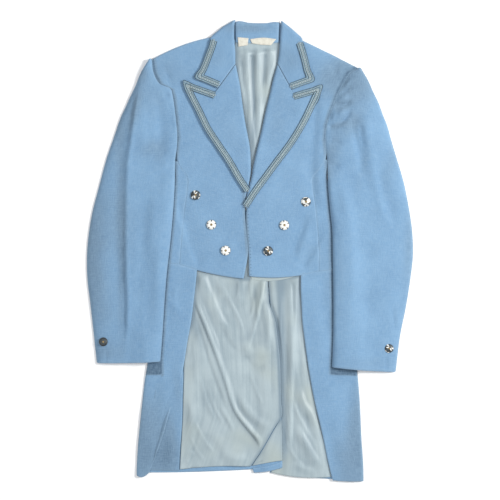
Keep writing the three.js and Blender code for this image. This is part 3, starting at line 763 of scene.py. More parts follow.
class WallForm:
    """The middle surface of a solid wall, read back as rows along the piece and columns across it."""

    def __init__(self, node: bpy.types.Object) -> None:
        """Reads the wall.

        Args:
            node: the solid's object, whose mesh is loose triangles.
        """
        self.points, self.triangles = self._merged(node)
        self.near, self.fourth, self.beside = self._squares()
        upper, lower = self._both_grids()
        self.middle = self._turned((upper + lower) / 2)

    @staticmethod
    def _merged(node: bpy.types.Object) -> tuple[Array, Array]:
        """The mesh's points in millimetres with doubles merged, and its triangles.

        Args:
            node: the solid's object.

        Returns:
            The points, one to a row, and the three points of each triangle.
        """
        mesh = node.data
        mesh.calc_loop_triangles()
        places = np.array([vertex.co[:] for vertex in mesh.vertices]) / MM
        triangles = np.array([triangle.vertices[:] for triangle in mesh.loop_triangles])
        keys = np.round(places * MERGE_STEPS).astype(int)
        _, first, inverse = np.unique(keys, axis=0, return_index=True, return_inverse=True)
        return places[first], inverse.reshape(-1)[triangles]

    def _squares(self) -> tuple[dict, dict, dict]:
        """Pairs the triangles into four sided faces across the longest edges.

        Returns:
            The neighbours of each point; the fourth corner of each face by its other three; the faces
            beside each edge.
        """
        corners = self.points[self.triangles]
        normals = np.cross(corners[:, 1] - corners[:, 0], corners[:, 2] - corners[:, 0])
        normals /= np.linalg.norm(normals, axis=1)[:, None]
        edges: dict[frozenset, list[int]] = {}
        for k, (a, b, c) in enumerate(self.triangles.tolist()):
            for edge in ((a, b), (b, c), (c, a)):
                edges.setdefault(frozenset(edge), []).append(k)
        length = {edge: self._length(edge) for edge in edges}

        def preference(edge: frozenset) -> float:
            """How much an edge looks like a face's diagonal.

            Args:
                edge: its two points.

            Returns:
                Its score.
            """
            score = 0.0
            for k in edges[edge]:
                a, b, c = self.triangles[k].tolist()
                others = {frozenset((a, b)), frozenset((b, c)), frozenset((c, a))} - {edge}
                score += length[edge] / max(length[other] for other in others)
            first, second = edges[edge]
            return score * (1 - FLATNESS + FLATNESS * float(normals[first] @ normals[second]))

        free = set(range(len(self.triangles)))
        near: dict[int, set[int]] = {point: set() for point in range(len(self.points))}
        fourth: dict[frozenset, int] = {}
        beside: dict[frozenset, list[frozenset]] = {}
        diagonals = set()
        for edge in sorted(edges, key=preference, reverse=True):
            first, second = edges[edge]
            if first in free and second in free:
                free -= {first, second}
                diagonals.add(edge)
                face = frozenset(self.triangles[first].tolist() + self.triangles[second].tolist())
                for point in face:
                    fourth[face - {point}] = point
                ends = face - edge
                for a in edge:
                    for b in ends:
                        beside.setdefault(frozenset((a, b)), []).append(face)
        for edge in set(edges) - diagonals:
            a, b = edge
            near[a].add(b)
            near[b].add(a)
        return near, fourth, beside

    def _length(self, edge: frozenset) -> float:
        """Length of an edge."""
        a, b = edge
        return float(np.linalg.norm(self.points[a] - self.points[b]))

    def _walk(self, start: int, towards: int) -> list[int]:
        """Points straight on from start to the wall's next corner.

        Args:
            start: the first point.
            towards: the second point.

        Returns:
            The points in order.
        """
        path = [start, towards]
        while len(self.near[path[-1]]) == 4:
            faces = self.beside[frozenset(path[-2:])]
            onward = self.near[path[-1]] - set().union(*faces)
            path.append(onward.pop())
        return path

    def _filled(self, top: list[int], side: list[int]) -> Array:
        """Grid of points from its first row and first column.

        Args:
            top: the points of its first row.
            side: the points of its first column.

        Returns:
            Rows by columns by 3.
        """
        grid = [top]
        for start in side[1:]:
            row = [start]
            for left, right in zip(grid[-1], grid[-1][1:]):
                row.append(self.fourth[frozenset((left, right, row[-1]))])
            grid.append(row)
        return self.points[np.array(grid)]

    def _both_grids(self) -> tuple[Array, Array]:
        """The grids of the wall's upper and lower faces.

        Returns:
            Two arrays, rows by columns by 3.
        """
        corners = [point for point, around in self.near.items() if len(around) == 3]
        for corner in sorted(corners, key=lambda point: tuple(self.points[point])):
            below = min(self.near[corner], key=lambda point: self._length(frozenset((corner, point))))
            if self.points[corner][2] > self.points[below][2]:
                break
        first, second = sorted(self.near[corner] - {below})
        under = [self.fourth[frozenset((corner, below, point))] for point in (first, second)]
        upper = self._filled(self._walk(corner, first), self._walk(corner, second))
        lower = self._filled(self._walk(below, under[0]), self._walk(below, under[1]))
        return upper, lower

    @staticmethod
    def _turned(grid: Array) -> Array:
        """The grid with its rows in order of y and its columns in order of x.

        Args:
            grid: rows by columns by 3.

        Returns:
            The same points in the new order.
        """
        across = np.abs((grid[:, -1] - grid[:, 0]).mean(0))
        narrow = min(grid.shape[:2]) <= 3
        if (grid.shape[0] < grid.shape[1]) if narrow else across[0] < across[1]:
            grid = grid.transpose(1, 0, 2)
        if (grid[:, -1] - grid[:, 0]).mean(0)[0] < 0:
            grid = grid[:, ::-1]
        if (grid[-1] - grid[0]).mean(0)[1] < 0:
            grid = grid[::-1]
        return grid


def finer(grid: Array, cell: float, straight_across: bool = False) -> Array:
    """A smooth grid through a coarse one, with its rows and columns kept.

    Args:
        grid: rows by columns by 3.
        cell: about how far apart its points are, in millimetres.
        straight_across: whether each row stays straight between its columns.

    Returns:
        The finer grid.
    """
    for axis in (0, 1):
        work = grid if axis == 0 else grid.transpose(1, 0, 2)
        steps = np.linalg.norm(np.diff(work, axis=0), axis=2)
        knots = np.concatenate([[0], np.cumsum(np.maximum(steps.mean(1), 0.05))])
        counts = np.maximum(1, np.ceil(steps.max(1) / cell - 0.2)).astype(int)
        at = np.concatenate([np.linspace(a, b, n, endpoint=False)
                             for a, b, n in zip(knots, knots[1:], counts)] + [knots[-1:]])
        if axis == 1 and straight_across:
            work = np.stack([np.stack([np.interp(at, knots, work[:, j, k]) for j in range(work.shape[1])], 1)
                             for k in range(3)], 2)
        else:
            plan = hermite(work[..., :2], knots, at, False)
            height = hermite(work[..., 2:], knots, at, True)
            work = np.concatenate([plan, height], axis=2)
        grid = work if axis == 0 else work.transpose(1, 0, 2)
    return grid


def grid_normals(grid: Array) -> Array:
    """Unit normals of a grid's surface, pointing up.

    Args:
        grid: rows by columns by 3.

    Returns:
        An array of the grid's shape.
    """
    normals = np.cross(np.gradient(grid, axis=1), np.gradient(grid, axis=0))
    normals /= np.maximum(np.linalg.norm(normals, axis=2), 1e-9)[..., None]
    return np.where(normals[..., 2:] < 0, -normals, normals)


def arc_lengths(grid: Array) -> Array:
    """How far each point of a grid is across it and along it, in millimetres.

    Args:
        grid: rows by columns by 3.

    Returns:
        Rows by columns by 2, with the distance across measured from the middle.
    """
    across = np.zeros(grid.shape[:2])
    along = np.zeros(grid.shape[:2])
    across[:, 1:] = np.cumsum(np.linalg.norm(np.diff(grid, axis=1), axis=2), axis=1)
    along[1:] = np.cumsum(np.linalg.norm(np.diff(grid, axis=0), axis=2), axis=0)
    across -= across[:, -1:] / 2
    return np.stack([across, along], axis=2)


def flat_size(grid: Array) -> tuple[tuple[float, float], float]:
    """Width, length and area of the cloth that a grid was cut from, in metres.

    Args:
        grid: rows by columns by 3, in millimetres.

    Returns:
        The width and length, and the area.
    """
    arcs = arc_lengths(grid)
    width = float((arcs[:, -1, 0] - arcs[:, 0, 0]).max())
    length = float(arcs[-1, :, 1].max())
    one, two = grid[1:, 1:] - grid[:-1, :-1], grid[1:, :-1] - grid[:-1, 1:]
    area = float(np.linalg.norm(np.cross(one, two), axis=2).sum() / 2)
    return (width * MM, length * MM), area * MM * MM


def add_object(name: str, data: Any) -> bpy.types.Object:
    """Puts a new object with that data in the scene."""
    made = bpy.data.objects.new(name, data)
    bpy.context.scene.collection.objects.link(made)
    return made


def add_mesh(name: str, places: Array, faces: list[list[int]], fields: dict[str, Array]) -> bpy.types.Object:
    """Makes a smooth shaded mesh object.

    Args:
        name: the object's name.
        places: its points, in millimetres.
        faces: the points of each face.
        fields: numbers at its points, which the mesh carries as attributes.

    Returns:
        The object.
    """
    mesh = bpy.data.meshes.new(name)
    mesh.from_pydata((places * MM).tolist(), [], faces)
    mesh.polygons.foreach_set("use_smooth", np.ones(len(faces), bool))
    for key, values in fields.items():
        carried = mesh.attributes.new(key, "FLOAT", "POINT")
        carried.data.foreach_set("value", values.astype(np.float32).ravel())
    mesh.validate()
    return add_object(name, mesh)


class Shell:
    """A closed shell of one thickness about a grid, with rounded edges."""

    def __init__(self, grid: Array, thickness: float, spread: float = 0.0) -> None:
        """Works out the shell's normals and its distance to the edge.

        Args:
            grid: its middle surface.
            thickness: in millimetres.
            spread: how far its edges reach past the grid, in millimetres.
        """
        self.grid = grid
        self.thickness = thickness
        self.spread = spread
        self.normals = grid_normals(grid)
        self.arcs = arc_lengths(grid)
        across, along = self.arcs[..., 0], self.arcs[..., 1]
        ends = [across - across[:, :1], across[:, -1:] - across, along, along[-1:] - along]
        self.edge_distance = np.minimum.reduce(ends)

    def _rim(self) -> list[tuple[int, int]]:
        """Rows and columns of the points round the grid, in order.

        Returns:
            One row and column for each point.
        """
        rows, columns = self.grid.shape[:2]
        there = [(0, j) for j in range(columns)] + [(i, columns - 1) for i in range(1, rows)]
        back = [(rows - 1, j) for j in range(columns - 2, -1, -1)] + [(i, 0) for i in range(rows - 2, 0, -1)]
        return there + back

    def _outward(self) -> Array:
        """At the grid's edges, the direction away from the cloth.

        Returns:
            An array of the grid's shape, 0 inside the edges.
        """
        out = np.zeros(self.grid.shape)
        out[:, 0] += self.grid[:, 0] - self.grid[:, 1]
        out[:, -1] += self.grid[:, -1] - self.grid[:, -2]
        out[0] += self.grid[0] - self.grid[1]
        out[-1] += self.grid[-1] - self.grid[-2]
        return out / np.maximum(np.linalg.norm(out, axis=2), 1e-9)[..., None]

    def build(self, name: str, fields: dict[str, Array]) -> bpy.types.Object:
        """Makes the shell's object.

        Args:
            name: the object's name.
            fields: numbers at the grid's points, which the mesh carries as attributes.

        Returns:
            The object.
        """
        rows, columns = self.grid.shape[:2]
        count = rows * columns
        half = self.thickness / 2
        inset = self._outward() * half * EDGE_ROUNDING
        spread = self._outward() * self.spread
        upper = self.grid + self.normals * half - inset + spread
        lower = self.grid - self.normals * half - inset + spread
        rim = self._rim()
        rim_at = np.array([i * columns + j for i, j in rim])
        edge = (self.grid + spread).reshape(-1, 3)[rim_at]
        places = np.concatenate([upper.reshape(-1, 3), lower.reshape(-1, 3), edge])
        at = np.arange(count).reshape(rows, columns)
        face = np.stack([at[:-1, :-1], at[:-1, 1:], at[1:, 1:], at[1:, :-1]], axis=2).reshape(-1, 4)
        after = np.roll(rim_at, -1)
        ring = 2 * count + np.arange(len(rim))
        ring_after = np.roll(ring, -1)
        high = np.stack([rim_at, ring, ring_after, after], axis=1)
        low = np.stack([ring, rim_at + count, after + count, ring_after], axis=1)
        faces = np.concatenate([face, face[:, ::-1] + count, high, low])
        if self._faces_down(places, face):
            faces = faces[:, ::-1]

        def everywhere(values: Array) -> Array:
            """The grid's values at the points of both faces and of the rim."""
            flat = values.reshape(count, -1)
            return np.concatenate([flat, flat, flat[rim_at]])

        fields = {"edge": np.exp(-((self.edge_distance / EDGE_BAND) ** 2)), **fields}
        carried = {key: everywhere(values) for key, values in fields.items()}
        piece = add_mesh(name, places, faces.tolist(), carried)
        mesh = piece.data
        corners = np.zeros(len(mesh.loops), np.int32)
        mesh.loops.foreach_get("vertex_index", corners)
        on_cloth = (everywhere(self.arcs) * MM)[corners].astype(np.float32)
        mesh.uv_layers.new(name="UVMap").data.foreach_set("uv", on_cloth.ravel())
        return piece

    @staticmethod
    def _faces_down(places: Array, face: Array) -> bool:
        """Whether the upper faces, as wound, point down."""
        a, b, c = (places[face[:, k]] for k in range(3))
        return float(np.cross(b - a, c - a)[:, 2].sum()) < 0


def crease_shade(height: Array) -> Array:
    """How far each point lies in a trough of its cloth, from 0 to 1: the share of painted shade there.

    Args:
        height: the creases' height at each point.

    Returns:
        An array of the height's shape.
    """
    blurred = height.copy()
    for _ in range(CREASE_SHADE_BLUR):
        padded = np.pad(blurred, 1, mode="edge")
        blurred = (padded[:-2, 1:-1] + padded[2:, 1:-1] + padded[1:-1, :-2] + padded[1:-1, 2:] + blurred) / 5
    return np.clip((blurred - height) / CREASE_SHADE_DEPTH, 0, 1)


@dataclass
class Cloth:
    """What all pieces of one cloth share: thickness, spacing of points, slot and finish."""

    thickness: float
    cell: float
    slot: str
    material: bpy.types.Material
    spread: float = 0.0
    only_up: bool = False

    def make(
        self,
        name: str,
        node: str,
        relief: Relief,
        rests_on: Sequence[str],
        shape: Reshape | None = None,
        straight_across: bool = False,
    ) -> None:
        """Args:
            name: the new piece's name.
            node: the wall that it stands for.
            relief: its creases.
            rests_on: the solids that it lies on; not used.
            shape: changes the finer grid's heights before the creases.
            straight_across: whether the wall's rows are straight between their columns.
        """
        middle = WallForm(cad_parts[node]).middle
        flat, area = flat_size(middle)
        grid = finer(middle, self.cell, straight_across)
        if shape is not None:
            grid = shape(grid)
        creases = relief.at(grid[..., 0], grid[..., 1])
        if self.only_up:
            creases = UP_SOFTNESS * np.logaddexp(0, creases / UP_SOFTNESS)
        grid = grid.copy()
        grid[..., 2] = np.maximum(grid[..., 2] + creases, self.thickness / 2)
        shell = Shell(grid, self.thickness, self.spread)
        # The grey attribute carries dust and painted shade.
        greyed_and_shaded = relief.greyed_and_shaded(grid[..., 0], grid[..., 1])
        # The trough attribute is painted shade in the creases.
        piece = shell.build(name, {"painted_crease_shade": crease_shade(creases), "grey_and_shade": greyed_and_shaded})
        dress(piece, self.material, self.slot, node)
        log.info("%s: %d by %d points, cut %.0f by %.0f mm", name, *grid.shape[:2], *np.divide(flat, MM))


def dress(piece: bpy.types.Object, material: bpy.types.Material, slot: str, *nodes: str) -> None:
    """Gives a piece its material, puts it on the coat's body, and hides the solids that it stands for.

    Args:
        piece: the piece.
        material: its material.
        slot: the record's slot; not used.
        nodes: the solids that it stands for.
    """
    if not piece.data.materials:
        piece.data.materials.append(material)
    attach(piece, "root")
    if nodes:
        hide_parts(*nodes)


# --------------------------------------------------------------------------------------------- creases

# Columns of a Fold: path, height, width, lean, start, end. Of a Swell: height, length, bearing, phase.
# Of a patch of dust and painted shade: x, y, across, along, turn, strength. FRONT_FOLDS are on the two fronts
# with their side bodies, lapels and collar.
FRONT_FOLDS = (
    Fold([(-158, 127), (-147, 85), (-134, 49), (-122, 7), (-109, -24), (-103, -37)],
         -3.2, 13, -0.7, 0.2, 0.1),
    Fold([(-185, 391), (-174, 370), (-167, 352), (-164, 341)], -1.6, 5, -0.4),
    Fold([(-60, 240), (-95, 190), (-120, 150)], -1.0, 16),
    Fold([(-40, 120), (-72, 128), (-110, 160)], 0.9, 14),
    Fold([(-30, 40), (-20, -10), (-14, -50)], -0.9, 12),
    Fold([(143, 345), (138, 300), (133, 221), (130, 169), (134, 116), (139, 74)], -3.4, 12, 0.35, 0.25, 0.2),
    Fold([(120, 84), (112, 50), (101, 22), (90, -12)], -2.4, 10, 0.5, 0.4, 0.15),
    Fold([(152, 46), (143, 22), (130, -3), (109, -41)], -2.6, 10, 0.5, 0.3, 0.1),
    Fold([(124, 60), (116, 22), (100, -30)], 1.6, 9),
    Fold([(189, 391), (180, 378), (172, 365)], -2.0, 6, 0.3),
    Fold([(206, 384), (198, 374), (192, 364)], -1.7, 5, -0.3),
    Fold([(60, 190), (96, 168), (128, 162)], 0.9, 15),
    Fold([(20, 90), (30, 40), (20, -40)], 0.9, 16),
    Fold([(60, 302), (80, 290), (104, 289)], -1.3, 12),
    Fold([(-90, 300), (-70, 290), (-40, 300)], -0.9, 14),
    Fold([(-62, 232), (-40, 214), (-16, 206)], -0.8, 10),
    Fold([(36, 240), (60, 226), (84, 224)], 0.8, 12),
)
SKIRT_FOLDS = (
    Fold([(-186, -60), (-160, -110), (-140, -150)], 1.3, 9, 0.4),
    Fold([(-140, -262), (-158, -306), (-178, -352), (-200, -420)], -2.4, 11, 0.5, 0.15, 0.2),
    Fold([(-150, -312), (-176, -376), (-196, -440)], 1.8, 9),
    Fold([(-142, -262), (-160, -306), (-180, -352), (-208, -462)], -2.2, 3.4, 0.6, 0.1, 0.02),
    Fold([(-182, -62), (-166, -92), (-148, -120)], -1.3, 3.2, 0.5),
    Fold([(-148, -66), (-158, -96), (-150, -130)], 1.1, 4.0, 0.3),
    Fold([(-200, -200), (-196, -300), (-206, -400)], -1.4, 13),
    Fold([(-170, -60), (-172, -140), (-166, -210)], -1.0, 13),
    Fold([(124, -70), (138, -150), (150, -240)], 1.0, 14),
    Fold([(160, -100), (170, -200), (186, -320)], -1.3, 15),
    Fold([(170, -330), (186, -390), (196, -460)], 1.5, 12),
    Fold([(212, -260), (206, -340), (214, -430)], -1.3, 12),
    Fold([(150, -56), (156, -90), (150, -130)], -1.0, 9),
)
SLEEVE_FOLDS = (
    Fold([(-229, 364), (-233, 333), (-239, 293), (-244, 263), (-249, 228), (-254, 192), (-257, 137),
          (-258, 1), (-256, -160), (-262, -214)], 3.4, 12, -0.8, 0.12, 0.12),
    Fold([(-231, 340), (-240, 293), (-249, 228), (-255, 192), (-258, 137), (-259, 1), (-257, -160),
          (-260, -200)], 1.9, 3.2, -0.8, 0.1, 0.1),
    Fold([(-252, 300), (-266, 228), (-274, 137), (-277, 0), (-274, -140)], -2.4, 11, 0.3, 0.25, 0.3),
    Fold([(-202, 345), (-191, 305), (-187, 263), (-189, 221), (-204, 178)], -4.0, 13, -0.3, 0.25, 0.3),
    Fold([(-224, 300), (-222, 250), (-226, 200)], 1.8, 11),
    Fold([(-216, 42), (-212, -41), (-214, -125), (-218, -209)], -2.6, 12, -0.3),
    Fold([(-236, 120), (-238, 20), (-240, -100)], 1.4, 11),
    Fold([(-190, 60), (-192, -20), (-196, -120)], 1.3, 9),
    Fold([(-184, 328), (-174, 326), (-164, 325)], -2.0, 4.5, 0.3),
    Fold([(-212, 196), (-190, 204), (-168, 213)], -2.0, 6, 0.5),
    Fold([(-206, 168), (-186, 172), (-166, 190)], 1.6, 6),
    Fold([(-300, 40), (-312, -30), (-310, -120)], 1.2, 14),
    Fold([(-299, -207), (-300, -220), (-300, -236)], -1.2, 1.8, 0.5, 0.1, 0.01),
    Fold([(176, 305), (191, 304), (204, 309), (214, 318)], -3.6, 4.4, 0.6, 0.1, 0.3),
    Fold([(178, 318), (194, 318), (208, 326)], 2.6, 5.5),
    Fold([(182, 332), (200, 334), (214, 344)], -2.4, 4.0, 0.6, 0.1, 0.3),
    Fold([(186, 345), (202, 350), (216, 360)], 1.8, 5.0),
    Fold([(162, 262), (178, 260), (191, 270), (204, 283), (213, 297)], -4.4, 4.8, 0.7, 0.05, 0.25),
    Fold([(170, 280), (188, 284), (200, 298)], 3.6, 6.5, 0, 0.1, 0.3),
    Fold([(168, 232), (184, 226), (196, 222)], -1.8, 5, 0.5, 0.1, 0.3),
    Fold([(230, 270), (234, 240), (240, 210)], -1.8, 5, -0.4),
    Fold([(262, 150), (270, 110), (280, 60)], 1.6, 8, 0.3),
    Fold([(214, 290), (218, 251), (227, 215), (235, 169), (252, 116)], -3.6, 11, -0.4, 0.15, 0.4),
    Fold([(240, 300), (246, 240), (256, 180), (268, 120)], 2.4, 12),
    Fold([(166, 181), (178, 178), (190, 179)], -2.0, 5, 0.5, 0.05),
    Fold([(262, 190), (276, 140), (290, 95), (311, 32)], -3.0, 12, -0.3),
    Fold([(186, 200), (196, 120), (200, 40)], 1.5, 12),
    Fold([(172, 170), (186, 110), (190, 50)], -1.3, 9),
    Fold([(244, 60), (250, -40), (246, -140)], -1.4, 16),
    Fold([(214, 30), (220, -60), (214, -170)], 1.2, 14),
    Fold([(298, -112), (302, -140), (304, -170)], -1.5, 4, 0.5),
    Fold([(285, -222), (285, -238), (284, -252)], -1.2, 1.8, -0.5, 0.1, 0.01),
    Fold([(-256, 340), (-278, 268), (-292, 200)], 1.0, 9),
)
TAIL_RIGHT_FOLDS = (
    Fold([(-120, -92), (-94, -157), (-74, -209), (-52, -272), (-29, -339), (0, -377), (17, -398), (24, -424)],
         4.0, 5.0, -0.75, 0.12, 0.1),
    Fold([(-124, -110), (-104, -170), (-84, -236), (-62, -300), (-40, -352)], -1.6, 4.0, 0.4),
    Fold([(-108, -96), (-82, -160), (-60, -220)], 1.4, 2.6, -0.5),
    Fold([(-104, -260), (-92, -310), (-70, -360)], 1.5, 2.8, 0.5),
    Fold([(-90, -280), (-74, -330), (-52, -372)], 1.2, 2.4, -0.4),
    Fold([(-118, -350), (-98, -392), (-70, -430)], 1.6, 3.0, 0.5),
    Fold([(-128, -384), (-112, -420), (-92, -446)], 1.3, 2.6, -0.4),
    Fold([(-66, -52), (-46, -96), (-20, -150), (-6, -200)], 1.5, 3.2, 0.5),
    Fold([(-30, -46), (-24, -70), (-30, -110)], 1.4, 2.6),
    Fold([(4, -46), (0, -74), (6, -110), (0, -150)], 1.7, 3.0, -0.4),
    Fold([(34, -50), (22, -110), (8, -170), (-10, -220)], 1.8, 3.4, 0.5),
    Fold([(-2, -250), (12, -290), (30, -330)], 1.2, 2.8),
    Fold([(-60, -150), (-44, -190), (-20, -216)], -1.3, 5.0, 0.3),
    Fold([(-128, -456), (-70, -458), (-10, -456), (28, -440)], -1.0, 2.0, 0.5, 0.02, 0.02),
    Fold([(42, -60), (44, -160), (46, -260), (48, -340)], -0.9, 1.8, -0.4, 0.02, 0.02),
    Fold([(-40, -285), (-21, -331), (2, -360), (34, -384)], -2.0, 12, 0.3),
    Fold([(-24, -300), (-6, -336), (20, -358), (44, -372)], 2.6, 9),
    Fold([(-105, -41), (-78, -104), (-59, -146), (-38, -178)], 3.6, 10, 0.5, 0.15),
    Fold([(-88, -36), (-62, -92), (-44, -130)], -1.8, 8),
    Fold([(-67, -320), (-48, -352), (-32, -388)], 1.6, 4, -0.5),
    Fold([(-110, -160), (-124, -196), (-134, -236)], -2.2, 10, 0.4),
    Fold([(-96, -196), (-112, -250), (-116, -330), (-124, -420)], 2.8, 13),
    Fold([(-13, -213), (0, -239), (17, -249), (36, -236)], -2.0, 8, 0.3),
    Fold([(-20, -186), (6, -214), (36, -204)], 2.4, 10),
    Fold([(40, -56), (28, -87), (18, -125), (16, -160)], 3.2, 7, 0.5, 0.1),
    Fold([(24, -52), (10, -84), (2, -116)], -1.6, 6),
    Fold([(-10, -44), (-18, -76), (-22, -120)], 2.4, 7),
    Fold([(46, -96), (40, -150), (44, -210)], 1.8, 6),
    Fold([(-70, -60), (-60, -84), (-58, -110)], 1.8, 6),
    Fold([(-126, -300), (-122, -360), (-132, -440)], 1.7, 8),
    Fold([(-60, -420), (-30, -436), (4, -432)], 2.2, 11),
    Fold([(-100, -380), (-70, -412), (-60, -450)], -1.5, 10),
    Fold([(-134, -452), (-126, -430), (-118, -418)], 1.8, 4),
)
TAIL_LEFT_FOLDS = (
    Fold([(66, -80), (64, -160), (68, -240), (64, -330)], 1.6, 3.0, 0.4),
    Fold([(118, -96), (120, -180), (116, -250)], 1.4, 2.8, -0.4),
    Fold([(90, -300), (100, -340), (120, -380), (134, -400)], 1.5, 3.0, 0.4),
    Fold([(76, -400), (96, -436), (118, -456)], 1.3, 2.6),
    Fold([(74, -70), (78, -188), (74, -314), (72, -430)], -1.6, 7, -0.3, 0.1, 0.1),
    Fold([(84, -60), (88, -188), (86, -314), (84, -420)], 3.8, 7, 0.5, 0.08, 0.1),
    Fold([(97, -56), (94, -188), (93, -300)], 3.0, 6, -0.4, 0.1),
    Fold([(105, -62), (107, -167), (109, -272)], -1.8, 6, 0.3, 0.1),
    Fold([(104, -280), (112, -316), (134, -350), (152, -384)], 3.4, 8, 0.5),
    Fold([(98, -360), (114, -396), (134, -430), (152, -458)], 3.6, 8, 0.4),
    Fold([(110, -330), (126, -372), (146, -410)], -1.8, 7),
    Fold([(88, -440), (110, -456), (140, -464)], 1.8, 6),
    Fold([(104, -46), (96, -58), (84, -66)], 2.4, 5),
    Fold([(120, -200), (124, -260), (134, -310)], 1.6, 8),
)
NECK_FOLDS = (
    Fold([(-32, 412), (-30, 380), (-24, 350)], 1.6, 2.6, 0.3, 0.1, 0.3),
    Fold([(52, 424), (50, 400), (44, 360)], 1.5, 2.8, -0.3, 0.1, 0.3),
    Fold([(10, 300), (8, 250), (10, 200)], 1.4, 3.0, 0.3),
    Fold([(-17, 405), (-15, 362), (-8, 326), (-4, 260)], -1.3, 4.5, 0.4, 0.1, 0.4),
    Fold([(-24, 400), (-22, 360), (-14, 300)], 2.2, 6, 0, 0.2),
    Fold([(-6, 425), (-4, 370), (0, 300), (6, 220)], 3.4, 6, 0.5, 0.1, 0.3),
    Fold([(4, 421), (6, 379), (8, 337), (10, 280)], -1.4, 4, 0, 0.1),
    Fold([(16, 428), (16, 368), (17, 300), (16, 230)], 3.6, 7, -0.4, 0.1, 0.3),
    Fold([(32, 428), (32, 380), (28, 330)], -1.5, 6, 0.4, 0.1),
    Fold([(46, 424), (42, 380), (34, 330)], 2.6, 6, 0.3, 0.1),
    Fold([(-26, 416), (0, 412), (50, 418)], 1.6, 4, 0, 0.1, 0.1),
)
CLOTH_SWELLS = (
    Swell(0.55, 210, 0.4, 0.3), Swell(0.45, 130, 1.9, 1.7),
    Swell(0.3, 74, 1.1, 4.0), Swell(0.16, 38, 2.6, 2.2),
)
LINING_SWELLS = (Swell(0.7, 150, 0.25, 1.1), Swell(0.55, 84, 0.55, 2.6), Swell(0.12, 40, 0.2, 0.4))
# Greyed patches on the linings: some are dust, others painted shade, such as the long dark band beside the
# vent's edge and the darker sides of the neck.
LINING_DUST_AND_SHADE = (
    DustAndShade(-118, -140, 10, 90, 0.25, 0.6), DustAndShade(-96, -120, 14, 60, 0.35, 0.35),
    DustAndShade(-20, -70, 60, 22, 0.1, 0.35), DustAndShade(-4, -180, 40, 14, 0.3, 0.3),
    DustAndShade(-60, -220, 10, 70, 0.4, 0.25), DustAndShade(-20, -400, 60, 12, -0.5, 0.25),
    DustAndShade(-120, -430, 14, 40, 0, 0.3), DustAndShade(-84, -330, 8, 60, 0.45, 0.25), DustAndShade(66, -200, 9, 170, 0.02, 0.95),
    DustAndShade(74, -70, 26, 30, 0, 0.55), DustAndShade(100, -110, 8, 90, 0, 0.4), DustAndShade(106, -300, 10, 60, 0.25, 0.35),
    DustAndShade(72, -410, 8, 60, 0, 0.5), DustAndShade(130, -420, 12, 50, 0.3, 0.3), DustAndShade(-26, 400, 8, 60, 0, 0.5),
    DustAndShade(6, 330, 7, 80, 0, 0.35), DustAndShade(40, 396, 9, 50, 0.1, 0.35), DustAndShade(8, 220, 14, 70, 0, 0.6),
)
# Greyed patches on the body and turned parts: some are dust, others painted shade, such as the narrow dark
# line at the front opening and the bands along the skirts' outer edges.
FRONT_DUST_AND_SHADE = (
    DustAndShade(-8, 48, 4, 80, 0.067, 1.9),
    DustAndShade(-178, 380, 55, 32, -0.4, 0.45), DustAndShade(200, 368, 72, 44, 0.5, 1.25), DustAndShade(84, 402, 44, 34, 0, 0.5),
    DustAndShade(-74, 404, 34, 34, 0, 0.35), DustAndShade(182, 10, 22, 120, 0, 0.5), DustAndShade(126, -4, 30, 40, 0.2, 0.3),
    DustAndShade(-214, -430, 36, 100, 0.1, 1.1), DustAndShade(-168, -440, 30, 60, 0, 0.7), DustAndShade(-196, -330, 40, 60, 0, 0.35),
    DustAndShade(218, -440, 44, 86, 0, 0.95), DustAndShade(226, -330, 20, 90, 0, 0.5), DustAndShade(60, 262, 40, 60, -0.5, 0.25),
    DustAndShade(-44, 250, 30, 70, 0.5, 0.25), DustAndShade(20, 120, 30, 50, 0, 0.15), DustAndShade(168, -80, 26, 70, 0, 0.2),
    DustAndShade(0, 466, 60, 12, 0, 0.8), DustAndShade(-170, -400, 16, 60, 0, 0.55), DustAndShade(-152, -290, 12, 60, 0.1, 0.4),
    DustAndShade(-120, 120, 60, 14, -0.7, 0.15), DustAndShade(60, 330, 18, 90, -0.1, 0.25), DustAndShade(130, 160, 26, 60, 0, 0.2),
    DustAndShade(-90, 20, 14, 70, 0.5, 0.2), DustAndShade(-232, -200, 10, 200, 0.02, 0.4), DustAndShade(232, -300, 8, 180, 0.02, 0.4),
)
# Greyed patches on the sleeves: some are dust, others painted shade beside creases and along the sleeves'
# outer edges.
SLEEVE_DUST_AND_SHADE = (
    DustAndShade(-206, 214, 34, 20, 0.5, 0.55), DustAndShade(-188, 196, 18, 26, 0, 0.35), DustAndShade(-238, 300, 10, 50, -0.2, 0.4),
    DustAndShade(-270, 120, 12, 150, 0.03, 0.5), DustAndShade(-268, -100, 9, 120, 0, 0.4), DustAndShade(-224, 370, 14, 16, 0, 0.5),
    DustAndShade(190, 308, 20, 5, 0.2, 0.5), DustAndShade(184, 262, 22, 5, 0.25, 0.6), DustAndShade(168, 170, 12, 40, 0, 0.4),
    DustAndShade(222, 268, 20, 34, -0.5, 0.5), DustAndShade(190, 300, 22, 10, 0.3, 0.4), DustAndShade(236, 170, 10, 70, -0.25, 0.35),
    DustAndShade(-330, 0, 26, 160, 0.03, 0.8), DustAndShade(-283, 60, 44, 100, 0, 0.5), DustAndShade(-262, 270, 24, 90, -0.35, 0.6),
    DustAndShade(-296, -212, 44, 26, 0, 0.5), DustAndShade(-200, 320, 26, 44, 0, 0.45), DustAndShade(-300, -120, 40, 60, 0, 0.3),
    DustAndShade(214, 352, 58, 48, 0, 1.2), DustAndShade(336, 20, 18, 150, -0.06, 0.55), DustAndShade(176, 214, 18, 60, 0, 0.5),
    DustAndShade(252, -236, 60, 18, 0, 0.35), DustAndShade(196, 260, 30, 40, 0, 0.3), DustAndShade(190, -40, 14, 120, 0, 0.3),
    DustAndShade(300, 200, 16, 90, -0.25, 0.45),
)


